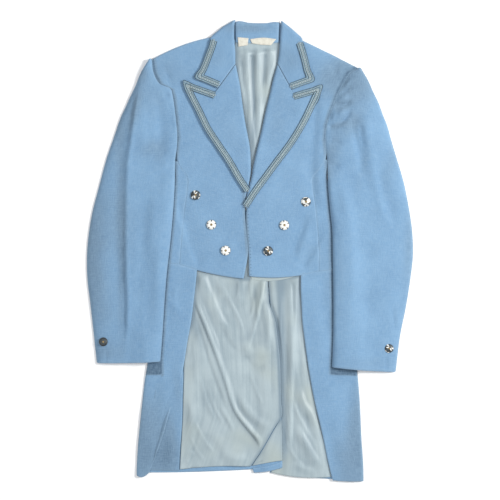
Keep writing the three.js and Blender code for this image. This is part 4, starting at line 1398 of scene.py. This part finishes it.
def edge_line(node: str, column: int) -> Reshape:
    """x along one edge of a wall, as a function of y.

    Args:
        node: the wall.
        column: the column of its grid that is the edge.

    Returns:
        The function.
    """
    line = WallForm(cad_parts[node]).middle[:, column]
    order = np.argsort(line[:, 1])
    return lambda y: np.interp(y, line[order, 1], line[order, 0])


def end_line(node: str, row: int) -> Reshape:
    """y along one end of a wall, as a function of x.

    Args:
        node: the wall.
        row: the row of its grid that is the end.

    Returns:
        The function.
    """
    line = WallForm(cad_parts[node]).middle[row]
    order = np.argsort(line[:, 0])
    return lambda x: np.interp(x, line[order, 0], line[order, 1])


def between(lines: dict[Side, Reshape], x: Array, y: Array, inside: tuple[float, float]) -> Array:
    """1 between the right and the left line, falling to 0 beside them.

    Args:
        lines: x along each side, as a function of y.
        x: where the points are across the coat.
        y: where they are along it.
        inside: how far inside the lines it starts to rise and how far inside it is 1, in millimetres.

    Returns:
        An array of the points' shape.
    """
    right = smooth_step(x - lines[Side.RIGHT](y), *inside)
    return right * smooth_step(lines[Side.LEFT](y) - x, *inside)


def own_side(lines: dict[Side, Reshape], x: Array, along: Array) -> Array:
    """Where the line of each point's own side lies."""
    return np.where(x < 0, lines[Side.RIGHT](along), lines[Side.LEFT](along))


class Creases:
    """The reliefs of all layers, each faded where another layer lies close on it."""

    def __init__(self) -> None:
        """Reads the edges that bound what shows of each layer."""
        self.sleeve_inner = {side: edge_line(f"topsleeve_{side.word}", side.inner) for side in Side}
        self.sleeve_outer = {side: edge_line(f"topsleeve_{side.word}", side.outer) for side in Side}
        self.skirt_inner = {side: edge_line(f"skirt_{side.word}", side.inner) for side in Side}
        self.roll = {side: edge_line(f"lapel_{side.word}", side.inner) for side in Side}
        self.hem = {side: end_line(f"forepart_{side.word}", 0) for side in Side}
        self.vent = edge_line("lining_tail_right", -1)
        lined = partial(Relief, dust=LINING_DUST_AND_SHADE, lift=LINING_LIFT, rim_shade=RIM_SHADE)
        self.front = Relief(FRONT_FOLDS + SKIRT_FOLDS, CLOTH_SWELLS, self.body_window, FRONT_DUST_AND_SHADE,
                            rim_shade=SLEEVE_SHADE)
        self.sleeve = Relief(SLEEVE_FOLDS, CLOTH_SWELLS, self.sleeve_window, SLEEVE_DUST_AND_SHADE)
        self.tail_right = lined(TAIL_RIGHT_FOLDS, LINING_SWELLS, self.right_tail_window)
        self.tail_left = lined(TAIL_LEFT_FOLDS, LINING_SWELLS, self.left_tail_window)
        self.neck = lined(NECK_FOLDS, LINING_SWELLS[1:], self.neck_window)
        self.flat = Relief()
        self.plain = Relief(dust=FRONT_DUST_AND_SHADE)

    def body_window(self, x: Array, y: Array) -> Array:
        """1 on the fronts, falling to 0 under the sleeves."""
        return np.where(y > BELOW_SLEEVES, between(self.sleeve_inner, x, y, BESIDE_SLEEVE), 1)

    def sleeve_window(self, x: Array, y: Array) -> Array:
        """1 on the sleeves, falling to 0 at their edges."""
        away = np.where(x < 0, -1, 1)
        inner = smooth_step((x - own_side(self.sleeve_inner, x, y)) * away, *SLEEVE_EDGE)
        return inner * smooth_step((own_side(self.sleeve_outer, x, y) - x) * away, *SLEEVE_EDGE)

    def tail_window(self, x: Array, y: Array) -> Array:
        """1 on the tail linings that show, falling to 0 under the skirts and the fronts."""
        above = own_side(self.hem, x, x) - y
        return between(self.skirt_inner, x, y, BESIDE_SKIRT) * smooth_step(above, *BELOW_HEM)

    def right_tail_window(self, x: Array, y: Array) -> Array:
        """The tail window, falling to 0 at the vent's edge."""
        return self.tail_window(x, y) * smooth_step(np.abs(self.vent(y) - x), *RIGHT_OF_VENT)

    def left_tail_window(self, x: Array, y: Array) -> Array:
        """The tail window, falling to 0 under the right tail."""
        return self.tail_window(x, y) * smooth_step(x - self.vent(y), *LEFT_OF_VENT)

    def neck_window(self, x: Array, y: Array) -> Array:
        """1 on the neck lining that shows, falling to 0 under the lapels and at its seam."""
        return between(self.roll, x, y, BESIDE_ROLL) * smooth_step(NECK_SEAM - y, *BELOW_NECK_SEAM)


# -------------------------------------------------------------------------------------- sub-assemblies


@dataclass
class Body:
    """The back, side bodies, fronts and skirts of the coat."""

    cloth: Cloth
    under: Cloth
    creases: Creases

    def build(self) -> None:
        """Builds the panels of both sides."""
        for side in Side:
            back = f"back_{side.word}"
            self.under.make(f"{back}_panel", back, self.creases.flat, [])
            for part in ("forepart", "side", "skirt"):
                node = f"{part}_{side.word}"
                shape = self.side_fold(side) if part != "forepart" else None
                self.cloth.make(f"{node}_panel", node, self.creases.front, [back], shape)

    def side_fold(self, side: Side) -> Reshape:
        """How the cloth of a side body or skirt turns down to the back at its outer edge.

        Args:
            side: the side of the coat.

        Returns:
            The change to a grid's heights.
        """

        def turn_down(grid: Array) -> Array:
            """Lowers the grid towards its outer column.

            Args:
                grid: rows by columns by 3.

            Returns:
                The lowered grid.
            """
            away = np.linalg.norm(grid - grid[:, side.outer][:, None], axis=2)
            grid = grid.copy()
            grid[..., 2] -= FOLD_DROP * np.exp(-((away / FOLD_RADIUS) ** 2))
            return grid

        return turn_down


@dataclass
class Sleeves:
    """The two-piece sleeves, which lie down over the side folds of the body.

    fullness is how far their middle swells, in millimetres, and roundness the power of its sine: the
    lower, the flatter on top.
    """

    cloth: Cloth
    under: Cloth
    creases: Creases
    fullness: float = 4.6
    roundness: float = 0.62

    def build(self) -> None:
        """Builds the sleeves of both sides."""
        for side in Side:
            word = side.word
            below = f"undersleeve_{word}"
            self.under.make(f"{below}_panel", below, self.creases.flat, [f"side_{word}", f"skirt_{word}"])
            node = f"topsleeve_{word}"
            self.cloth.make(f"{node}_panel", node, self.creases.sleeve, [below], self.rounded(side))

    def rounded(self, side: Side) -> Reshape:
        """How the top sleeve swells in its middle and turns down at its folds.

        Args:
            side: the side of the coat.

        Returns:
            The change to a grid's heights.
        """

        def swell(grid: Array) -> Array:
            """Raises the middle of each row and lowers its free edges.

            Args:
                grid: rows by columns by 3.

            Returns:
                The changed grid.
            """
            share = np.linspace(0, 1, grid.shape[1])[None, :]
            arcs = arc_lengths(grid)[..., 0]
            from_start, from_end = arcs - arcs[:, :1], arcs[:, -1:] - arcs
            inner, outer = (from_end, from_start) if side is Side.RIGHT else (from_start, from_end)
            free = 1 - smooth_step(grid[..., 1], *ARMPIT)
            drop = np.exp(-((outer / FOLD_RADIUS) ** 2)) + free * np.exp(-((inner / FOLD_RADIUS) ** 2))
            grid = grid.copy()
            grid[..., 2] += self.fullness * np.sin(math.pi * share) ** self.roundness - SLEEVE_DROP * drop
            return grid

        return swell


@dataclass
class TurnedParts:
    """Lapels and collar leaves, turned back over the fronts, and the collar's stand and hidden fall."""

    cloth: Cloth
    stand: Cloth
    hidden: Cloth
    creases: Creases

    def build(self) -> None:
        """Builds the parts of both sides, and the two at the neck."""
        for side in Side:
            for part in ("lapel", "collar"):
                node = f"{part}_{side.word}"
                self.cloth.make(f"{node}_leaf", node, self.creases.front, [f"forepart_{side.word}"],
                                straight_across=True)
        self.hidden.make("collar_fall", "collar_back", self.creases.flat, [])
        self.stand.make("collar_stand_inside", "collar_stand", self.creases.plain, ["back_right"])


@dataclass
class Linings:
    """Every piece of lining that shows, and the cloth turned in beside it."""

    lining: Cloth
    cloth: Cloth
    creases: Creases

    def build(self) -> None:
        """Builds the linings, the tail facing and the hem that is turned up."""
        relief = self.creases
        for cloth, name, node, creases, bed in (
            (self.lining, "neck_lining", "lining_neck", relief.neck, "back_right"),
            (self.lining, "tail_lining_right", "lining_tail_right", relief.tail_right, "back_right"),
            (self.lining, "vent_corner_lining", "lining_vent_corner", relief.tail_right, "back_right"),
            (self.lining, "tail_lining_left", "lining_tail_left", relief.tail_left, "back_left"),
            (self.lining, "front_lining_edge", "lining_front_left", relief.flat, "lining_tail_left"),
            (self.cloth, "tail_facing", "tail_facing_right", relief.plain, "back_right"),
            (self.cloth, "vent_hem", "hem_turnup_right", relief.flat, "back_right"),
        ):
            cloth.make(name, node, creases, [bed])


@dataclass
class NeckLabels:
    """The bare label and the small patch sewn at the neck."""

    label: Cloth
    creases: Creases

    def build(self) -> None:
        """Builds both."""
        for name, node in (("bare_label", "neck_label"), ("neck_patch", "neck_tab")):
            self.label.make(name, node, self.creases.flat, ["collar_stand"])


# ------------------------------------------------------------------------- trims made by Geometry Nodes


@dataclass(frozen=True)
class Run:
    """Small shapes repeated along a line: spacing and sizes in millimetres, turn and jitter in radians."""

    spacing: float
    length: float
    width: float
    height: float
    turn: float
    jitter: float

    def inputs(self) -> dict[str, float]:
        """The values of a tree's number inputs, in metres and radians."""
        sizes = {"Spacing": self.spacing, "Length": self.length, "Width": self.width, "Height": self.height}
        return {key: size * MM for key, size in sizes.items()} | {"Turn": self.turn, "Jitter": self.jitter}


class GeometryGraph(Graph):
    """A Geometry Nodes tree with named inputs, which runs on a mesh of edges and ends in a plain mesh."""

    def __init__(self, name: str, numbers: dict[str, float]) -> None:
        """Makes the tree with its inputs.

        Args:
            name: the tree's name.
            numbers: its number inputs with their usual values, in metres, radians or plain numbers.
        """
        super().__init__(bpy.data.node_groups.new(name, "GeometryNodeTree"))
        face = self.tree.interface
        face.new_socket("Geometry", in_out="INPUT", socket_type="NodeSocketGeometry")
        face.new_socket("Geometry", in_out="OUTPUT", socket_type="NodeSocketGeometry")
        for key, value in numbers.items():
            face.new_socket(key, in_out="INPUT", socket_type="NodeSocketFloat").default_value = value
        face.new_socket("Material", in_out="INPUT", socket_type="NodeSocketMaterial")
        self.given = self.add("NodeGroupInput", {}, {}).outputs
        self.line = self.add("GeometryNodeMeshToCurve", {}, {"Mesh": self.given["Geometry"]}).outputs[0]

    def close(self, geometry: Any) -> None:
        """Realizes the geometry, gives it the material input and sends it out."""
        real = self.add("GeometryNodeRealizeInstances", {}, {"Geometry": geometry})
        values = {"Geometry": real.outputs[0], "Material": self.given["Material"]}
        done = self.add("GeometryNodeSetMaterial", {}, values)
        self.add("NodeGroupOutput", {}, {"Geometry": done.outputs[0]})

    def along(self, shape: Any) -> Any:
        """Instances of a shape along the line, each turned to it.

        Args:
            shape: the geometry to repeat.

        Returns:
            The instances.
        """
        given = self.given
        values = {"Curve": self.line, "Length": given["Spacing"]}
        points = self.add("GeometryNodeCurveToPoints", {"mode": "LENGTH"}, values)
        values = {"Vector": points.outputs["Tangent"]}
        turned = self.add("FunctionNodeAlignRotationToVector", {"axis": "X"}, values)
        turn, jitter = Wire(self, given["Turn"]), Wire(self, given["Jitter"])
        values = {"Min_001": turn - jitter, "Max_001": turn + jitter, "Seed": SEED}
        spin = self.add("FunctionNodeRandomValue", {"data_type": "FLOAT"}, values)
        angle = self.add("ShaderNodeCombineXYZ", {}, {"Z": spin.outputs[1]})
        euler = self.add("FunctionNodeEulerToRotation", {}, {0: angle.outputs[0]})
        values = {"Rotation": turned.outputs[0], "Rotate By": euler.outputs[0]}
        spun = self.add("FunctionNodeRotateRotation", {"rotation_space": "LOCAL"}, values)
        values = {"X": given["Length"], "Y": given["Width"], "Z": given["Height"]}
        size = self.add("ShaderNodeCombineXYZ", {}, values)
        values = {"Points": points.outputs["Points"], "Instance": shape, "Rotation": spun.outputs[0],
                  "Scale": size.outputs[0]}
        return self.add("GeometryNodeInstanceOnPoints", {}, values).outputs[0]


def stitch_tree() -> bpy.types.NodeTree:
    """Tree of short plump stitches along a line."""
    graph = GeometryGraph("stitches", Run(6, 3, 0.5, 0.5, 0, 0.06).inputs())
    shape = graph.add("GeometryNodeMeshUVSphere", {}, {"Segments": 8, "Rings": 5, "Radius": 0.5})
    graph.close(graph.along(shape.outputs[0]))
    return graph.tree


def link_tree() -> bpy.types.NodeTree:
    """Tree of oval rings along a line, each a little over the next."""
    graph = GeometryGraph("links", Run(3, 4, 3, 3, 0.3, 0.15).inputs())
    ring = graph.add("GeometryNodeCurvePrimitiveCircle", {}, {"Resolution": 12, "Radius": 0.5})
    section = graph.add("GeometryNodeCurvePrimitiveCircle", {}, {"Resolution": 5, "Radius": 0.16})
    values = {"Curve": ring.outputs[0], "Profile Curve": section.outputs[0]}
    shape = graph.add("GeometryNodeCurveToMesh", {}, values)
    graph.close(graph.along(shape.outputs[0]))
    return graph.tree


def cord_tree() -> bpy.types.NodeTree:
    """Tree of a round thread laid along a line."""
    graph = GeometryGraph("laid_thread", {"Radius": 0.0008})
    values = {"Resolution": 8, "Radius": graph.given["Radius"]}
    section = graph.add("GeometryNodeCurvePrimitiveCircle", {}, values)
    values = {"Curve": graph.line, "Profile Curve": section.outputs[0], "Fill Caps": True}
    graph.close(graph.add("GeometryNodeCurveToMesh", {}, values).outputs[0])
    return graph.tree


def trim(
    name: str,
    lines: Sequence[Array],
    tree: bpy.types.NodeTree,
    numbers: dict[str, float],
    material: bpy.types.Material,
    slot: str,
) -> None:
    """Runs a tree along lines, keeps its result as a plain mesh and puts that on the coat.

    Args:
        name: the piece's name.
        lines: paths in millimetres.
        tree: the Geometry Nodes tree.
        numbers: its number inputs by name.
        material: what its material input is set to.
        slot: the record's slot.
    """
    places, edges = [], []
    for line in lines:
        start = len(places)
        places += (line * MM).tolist()
        edges += [(start + k, start + k + 1) for k in range(len(line) - 1)]
    base = bpy.data.meshes.new(f"{name}_line")
    base.from_pydata(places, edges, [])
    piece = add_object(name, base)
    modifier = piece.modifiers.new("nodes", "NODES")
    modifier.node_group = tree
    values = {**numbers, "Material": material}
    for socket in tree.interface.items_tree:
        if socket.in_out == "INPUT" and socket.name in values:
            modifier[socket.identifier] = values[socket.name]
    graph = bpy.context.evaluated_depsgraph_get()
    made = bpy.data.meshes.new_from_object(piece.evaluated_get(graph), depsgraph=graph)
    piece.modifiers.remove(modifier)
    piece.data = made
    made.polygons.foreach_set("use_smooth", np.ones(len(made.polygons), bool))
    log.info("%s: %d faces", name, len(made.polygons))
    dress(piece, material, slot)


@dataclass
class Braid:
    """The braid sewn along the free edges of lapels and collar: ribbon, four cords, one row of links and two
    rows of beads.
    """

    ribbon: Cloth
    creases: Creases
    edge_thread: bpy.types.Material
    link_thread: bpy.types.Material
    sink: float = 0.75
    widening: float = 1.2
    cord_radius: float = 0.42
    cord_shares: tuple[float, ...] = (0.0, 0.3, 0.7, 1.0)
    bead_shares: tuple[float, float] = (0.13, 0.87)
    links: Run = Run(3.8, 4.7, 3.6, 3.2, 0.3, 0.12)
    beads: Run = Run(3.0, 2.2, 1.3, 0.9, 0.6, 0.15)

    def build(self) -> None:
        """Builds the braids of both sides."""
        cord, link, bead = cord_tree(), link_tree(), stitch_tree()
        for side in Side:
            for part in ("lapel", "collar"):
                node = f"braid_{part}_{side.word}"
                self.ribbon.make(f"{node}_ribbon", node, self.creases.front, [f"{part}_{side.word}"],
                                 self.lowered, straight_across=True)
                radius = {"Radius": self.cord_radius * MM}
                for part_name, shares, above, tree, numbers, thread in (
                    ("cords", self.cord_shares, 0.25, cord, radius, self.edge_thread),
                    ("links", (0.5,), 0.45, link, self.links.inputs(), self.link_thread),
                    ("beads", self.bead_shares, 0.2, bead, self.beads.inputs(), self.link_thread),
                ):
                    lines = [self.line(node, share, above) for share in shares]
                    trim(f"{node}_{part_name}", lines, tree, numbers, thread, "braid")

    def lowered(self, grid: Array) -> Array:
        """The ribbon, eased to its real width and set down on its lapel or collar.

        Args:
            grid: rows by columns by 3.

        Returns:
            The changed grid.
        """
        middle = (grid[:, :1] + grid[:, -1:]) / 2
        grid = middle + (grid - middle) * np.array([self.widening, self.widening, 1])
        return grid - np.array([0, 0, self.sink])

    def line(self, node: str, share: float, above: float) -> Array:
        """Path along a braid.

        Args:
            node: its solid.
            share: how far across it.
            above: height over the ribbon's upper face, in millimetres.

        Returns:
            The path's points.
        """
        grid = self.lowered(finer(WallForm(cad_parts[node]).middle, BRAID_CELL, True))
        line = grid[:, 0] * (1 - share) + grid[:, -1] * share
        line[:, 2] += self.creases.front.at(line[:, 0], line[:, 1]) + self.ribbon.thickness / 2 + above
        return line


@dataclass
class HandStitches:
    """Pick stitches down the left front's edge, and the small stitches round the label."""

    thread: bpy.types.Material
    pale_thread: bpy.types.Material
    creases: Creases
    from_edge: float = 3.2
    label_inset: float = 0.9
    picks: Run = Run(6.8, 3.6, 1.1, 0.6, math.pi / 2, 0.12)
    tacks: Run = Run(3.2, 2.0, 0.45, 0.35, 0.5, 0.1)

    def build(self) -> None:
        """Builds both runs."""
        tree = stitch_tree()
        grid = finer(WallForm(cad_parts["forepart_left"]).middle, CLOTH_CELL)
        line = grid[(grid[:, 0, 1] > PICK_FROM) & (grid[:, 0, 1] < PICK_TO)]
        inward = line[:, 1] - line[:, 0]
        inward /= np.linalg.norm(inward, axis=1)[:, None]
        line = line[:, 0] + self.from_edge * inward
        line[:, 2] += self.creases.front.at(line[:, 0], line[:, 1]) + CLOTH_THICK / 2
        trim("pick_stitches", [line], tree, self.picks.inputs(), self.thread, "cloth")
        rings = []
        for node in ("neck_label", "neck_tab"):
            middle = WallForm(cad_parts[node]).middle
            corners = [middle[0, 0], middle[0, -1], middle[-1, -1], middle[-1, 0]]
            centre = np.mean(corners, axis=0)
            raised = centre + (0, 0, LABEL_THICK / 2)
            ring = [raised + (corner - centre) * self.label_inset for corner in corners]
            rings.append(np.array([*ring, ring[0]]))
        trim("label_stitches", rings, tree, self.tacks.inputs(), self.pale_thread, "label")


@dataclass(frozen=True)
class ButtonLook:
    """How one button lies: its turn about its axis, its tilt, and which of its petals are painted dark, as
    painted shade and reflection.
    """

    turn: float
    tilt: tuple[float, float]
    dark: tuple[int, ...] = ()


@dataclass
class Buttons:
    """Domed buttons with a rolled rim and a flower of petals in relief.

    The petals' middle, reach, width and flare are shares of the radius, and so are where the rim starts and
    ends. under gives the rings of the underside, each by its share of the radius and its height on a button
    of radius 10.
    """

    material: bpy.types.Material
    creases: Creases
    petals: int = 5
    rings: int = 30
    spokes: int = 80
    petal_middle: float = 0.51
    petal_reach: float = 0.31
    petal_width: float = 0.36
    petal_flare: float = 0.4
    rim_start: float = 0.84
    rim_end: float = 0.89
    under: tuple[tuple[float, float], ...] = ((0.97, 1.5), (0.86, 1.2), (0.3, 1.0), (0.3, 0.0), (1e-4, 0.0))
    looks: dict[str, ButtonLook] = field(default_factory=lambda: {
        "button_front_1": ButtonLook(0.3, (0.05, -0.09), (0, 2, 4)),
        "button_front_2": ButtonLook(0.9, (0.02, 0.03)),
        "button_front_3": ButtonLook(0.1, (-0.02, 0.02)),
        "button_front_4": ButtonLook(0.5, (0.09, 0.04), (1,)),
        "button_front_5": ButtonLook(1.1, (0.0, -0.03)),
        "button_front_6": ButtonLook(0.7, (-0.08, 0.07), (0, 2, 3)),
        "button_cuff_right": ButtonLook(0.4, (0.03, -0.05), (0, 1, 2, 3, 4)),
        "button_cuff_left": ButtonLook(1.0, (0.02, 0.05), (0, 2, 3)),
    })

    def build(self) -> None:
        """Builds every button."""
        for node, look in self.looks.items():
            low, high = (np.array(corner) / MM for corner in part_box(node))
            radius = (high[0] - low[0]) / 2
            x, y = (low[:2] + high[:2]) / 2
            relief = self.creases.sleeve if "cuff" in node else self.creases.front
            lift = float(relief.at(np.array([x]), np.array([y]))[0])
            if "cuff" in node:
                lift += CUFF_BUTTON_RISE
            piece = self.one(f"{node}_flower", radius, look, np.array([x, y, low[2] + lift]))
            dress(piece, self.material, "button", node)
            log.info("%s_flower: %.1f mm across", node, 2 * radius)

    def one(self, name: str, radius: float, look: ButtonLook, place: Array) -> bpy.types.Object:
        """Makes one button.

        Args:
            name: its name.
            radius: of its rim, in millimetres.
            look: how it lies.
            place: the middle of its underside.

        Returns:
            Its object.
        """
        share = np.concatenate([[1e-4], np.linspace(0, 1, self.rings + 1)[1:]])
        angle = np.linspace(0, 2 * math.pi, self.spokes, endpoint=False)
        s, a = np.meshgrid(share, angle, indexing="ij")
        height, petal, patina_and_shade, gilt = self.surface(s, a, look)
        below = np.array(self.under)
        s = np.concatenate([s, np.repeat(below[:, :1], self.spokes, axis=1)])
        a = np.concatenate([a, a[: len(below)]])
        height = np.concatenate([height, np.repeat(below[:, 1:], self.spokes, axis=1)])
        points = np.stack([s * np.cos(a), s * np.sin(a), height / 10], axis=2) * radius
        tilt_x, tilt_y = look.tilt
        points[..., 2] += (points[..., 0] * tilt_x + points[..., 1] * tilt_y) * (points[..., 2] > 0.5)
        points += place
        loops = points.shape[0]
        at = np.arange(loops * self.spokes).reshape(loops, self.spokes)
        onward = np.roll(at, -1, axis=1)
        faces = np.stack([at[:-1], at[1:], onward[1:], onward[:-1]], axis=2).reshape(-1, 4)
        faces = [*faces.tolist(), at[0].tolist(), at[-1][::-1].tolist()]
        plain = np.zeros((len(below), self.spokes))
        fields = {"petal": (petal, plain), "patina_and_shade": (patina_and_shade, plain + 0.6), "gilt": (gilt, plain)}
        fields = {key: np.concatenate(parts) for key, parts in fields.items()}
        return add_mesh(name, points.reshape(-1, 3), faces, fields)

    def surface(self, s: Array, a: Array, look: ButtonLook) -> tuple[Array, ...]:
        """Height over the base of a button of radius 10, and its petal, dark and gilt shares: the dark share
        is tarnish between the petals and painted shade and reflection on the petals listed dark.

        Args:
            s: share of the way out from the centre.
            a: angle about it.
            look: how the button lies.

        Returns:
            Four arrays of the arguments' shape.
        """
        dome = 2.4 + 2.4 * np.sqrt(np.clip(1 - (s / self.rim_start) ** 2, 0, 1))
        petal = np.zeros(s.shape)
        cup = np.zeros(s.shape)
        dark = np.zeros(s.shape)
        for k in range(self.petals):
            turned = a - look.turn - 2 * math.pi * k / self.petals
            out, side = s * np.cos(turned) - self.petal_middle, s * np.sin(turned)
            width = self.petal_width + self.petal_flare * out
            away = np.cbrt((np.abs(out) / self.petal_reach) ** 3 + (np.abs(side) / width) ** 3)
            mask = 1 - smooth_step(away, 0.9, 1.04)
            petal = np.maximum(petal, mask)
            vein = 0.2 * np.exp(-((side / 0.03) ** 2))
            cup = np.maximum(cup, mask * (1.0 - 0.6 * np.clip(1 - away, 0, 1) ** 2 - vein))
            if k in look.dark:
                dark = np.maximum(dark, mask)
        centre = 1 - smooth_step(s, 0.16, 0.24)
        beads = 0.25 * np.cos(4 * (a - look.turn))
        arms = 0.15 + 0.13 * np.abs(np.cos(2 * (a - look.turn))) ** 3
        rim = smooth_step(s, self.rim_start, self.rim_end)
        roll = np.sqrt(np.clip(1 - ((s - 0.94) / 0.065) ** 2, 0, 1))
        roll = 1.9 + 0.8 * roll + 0.1 * np.cos(40 * a)
        height = (dome + 0.75 * cup + (0.7 + beads) * centre) * (1 - rim) + roll * rim
        between_petals = (1 - petal) * (1 - centre) * (1 - 0.1 * rim)
        # Dark share: tarnish between the petals, painted shade and reflection on the petals listed dark, and
        # a darkened outermost edge.
        patina_and_shade = np.clip(between_petals * 0.85 + 0.8 * dark + 0.8 * smooth_step(s, 0.98, 1.0), 0, 1)
        gilt = np.clip(1 - smooth_step(s - arms, -0.03, 0.05), 0, 1)
        return height, petal * (1 - dark), patina_and_shade, gilt


# ---------------------------------------------------------------------------------------------- studio


@dataclass(frozen=True)
class Lamp:
    """A square soft light: its place and side in metres, its power in watts and its colour."""

    name: str
    place: tuple[float, float, float]
    side: float
    power: float
    colour: Colour

    def build(self) -> None:
        """Adds the light, which faces the coat's middle."""
        data = bpy.data.lights.new(self.name, "AREA")
        data.size = self.side
        data.energy = self.power
        data.color = self.colour
        lamp = add_object(self.name, data)
        lamp.location = self.place
        lamp.rotation_euler = (-Vector(self.place)).to_track_quat("-Z", "Y").to_euler()


@dataclass
class Studio:
    """The pale floor, the soft lights and the camera straight above, in metres."""

    floor_material: bpy.types.Material
    floor_half: float = 4.0
    lamps: tuple[Lamp, ...] = (
        Lamp("key", (2.3, 0.7, 2.1), 0.8, 98.0, (1.0, 0.99, 0.97)),
        Lamp("fill", (-0.9, -0.2, 2.6), 2.0, 30.0, (0.98, 0.99, 1.0)),
    )
    room_colour: Colour = (0.95, 0.97, 1.0)
    room_strength: float = 0.43
    camera_height: float = 3.2
    view_width: float = 1.05
    sensor: float = 36.0

    def build(self) -> None:
        """Builds floor, lights and camera."""
        half = self.floor_half
        corners = [(-half, -half), (half, -half), (half, half), (-half, half)]
        mesh = bpy.data.meshes.new("floor")
        mesh.from_pydata([(x, y, FLOOR_Z) for x, y in corners], [], [(0, 1, 2, 3)])
        mesh.materials.append(self.floor_material)
        add_object("floor", mesh)
        for lamp in self.lamps:
            lamp.build()
        world = bpy.data.worlds.new("soft_room")
        world.use_nodes = True
        background = world.node_tree.nodes["Background"]
        background.inputs["Color"].default_value = (*self.room_colour, 1.0)
        background.inputs["Strength"].default_value = self.room_strength
        bpy.context.scene.world = world
        bpy.context.scene.view_settings.view_transform = "Standard"
        self.camera()

    def camera(self) -> None:
        """Adds the camera, which sees view_width of the floor from straight above."""
        data = bpy.data.cameras.new("camera")
        data.sensor_width = self.sensor
        data.lens = self.sensor * self.camera_height / self.view_width
        camera = add_object("camera", data)
        camera.location = (0.0, VIEW_CENTRE_Y * MM, self.camera_height)
        bpy.context.scene.camera = camera


# ------------------------------------------------------------------------------------------------ main


def plain(box: tuple[Vector, Vector]) -> list[list[float]]:
    """A box's corners as lists of numbers."""
    return [[float(part) for part in corner] for corner in box]


def main() -> None:
    """Builds the coat and its studio."""
    logging.basicConfig(level=logging.INFO, format="%(name)s: %(message)s")
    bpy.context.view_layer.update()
    suit = partial(Cloth, cell=CLOTH_CELL, slot="cloth", material=WoolBlend().build())
    satin = SatinLining().build()
    cream = LabelCloth().build()
    creases = Creases()
    Studio(PaleFloor().build()).build()
    under = suit(UNDER_THICK)
    Body(suit(CLOTH_THICK, spread=BODY_SPREAD), under, creases).build()
    Sleeves(suit(CLOTH_THICK, spread=SLEEVE_SPREAD), under, creases).build()
    turned = suit(CLOTH_THICK, spread=TURNED_SPREAD)
    stand = suit(CLOTH_THICK, spread=STAND_SPREAD)
    TurnedParts(turned, stand, suit(FALL_THICK, spread=FALL_SPREAD), creases).build()
    lining = Cloth(LINING_THICK, LINING_CELL, "lining", satin, only_up=True)
    Linings(lining, suit(TURNED_IN_THICK), creases).build()
    NeckLabels(Cloth(LABEL_THICK, LINING_CELL, "label", cream), creases).build()
    edge_thread = Thread("braid_edge_thread", (0.050, 0.085, 0.105), 0.2, 0.5).build()
    link_thread = Thread("braid_link_thread", (0.46, 0.56, 0.58), 0.3, 0.4).build()
    ribbon = Cloth(BRAID_THICK, BRAID_CELL, "braid", MetallicRibbon().build())
    Braid(ribbon, creases, edge_thread, link_thread).build()
    blue_thread = Thread("sewing_thread", (0.075, 0.15, 0.26)).build()
    cream_thread = Thread("label_thread", (0.62, 0.60, 0.52)).build()
    HandStitches(blue_thread, cream_thread, creases).build()
    Buttons(ButtonFinish().build(), creases).build()


if __name__ == "__main__":
    main()
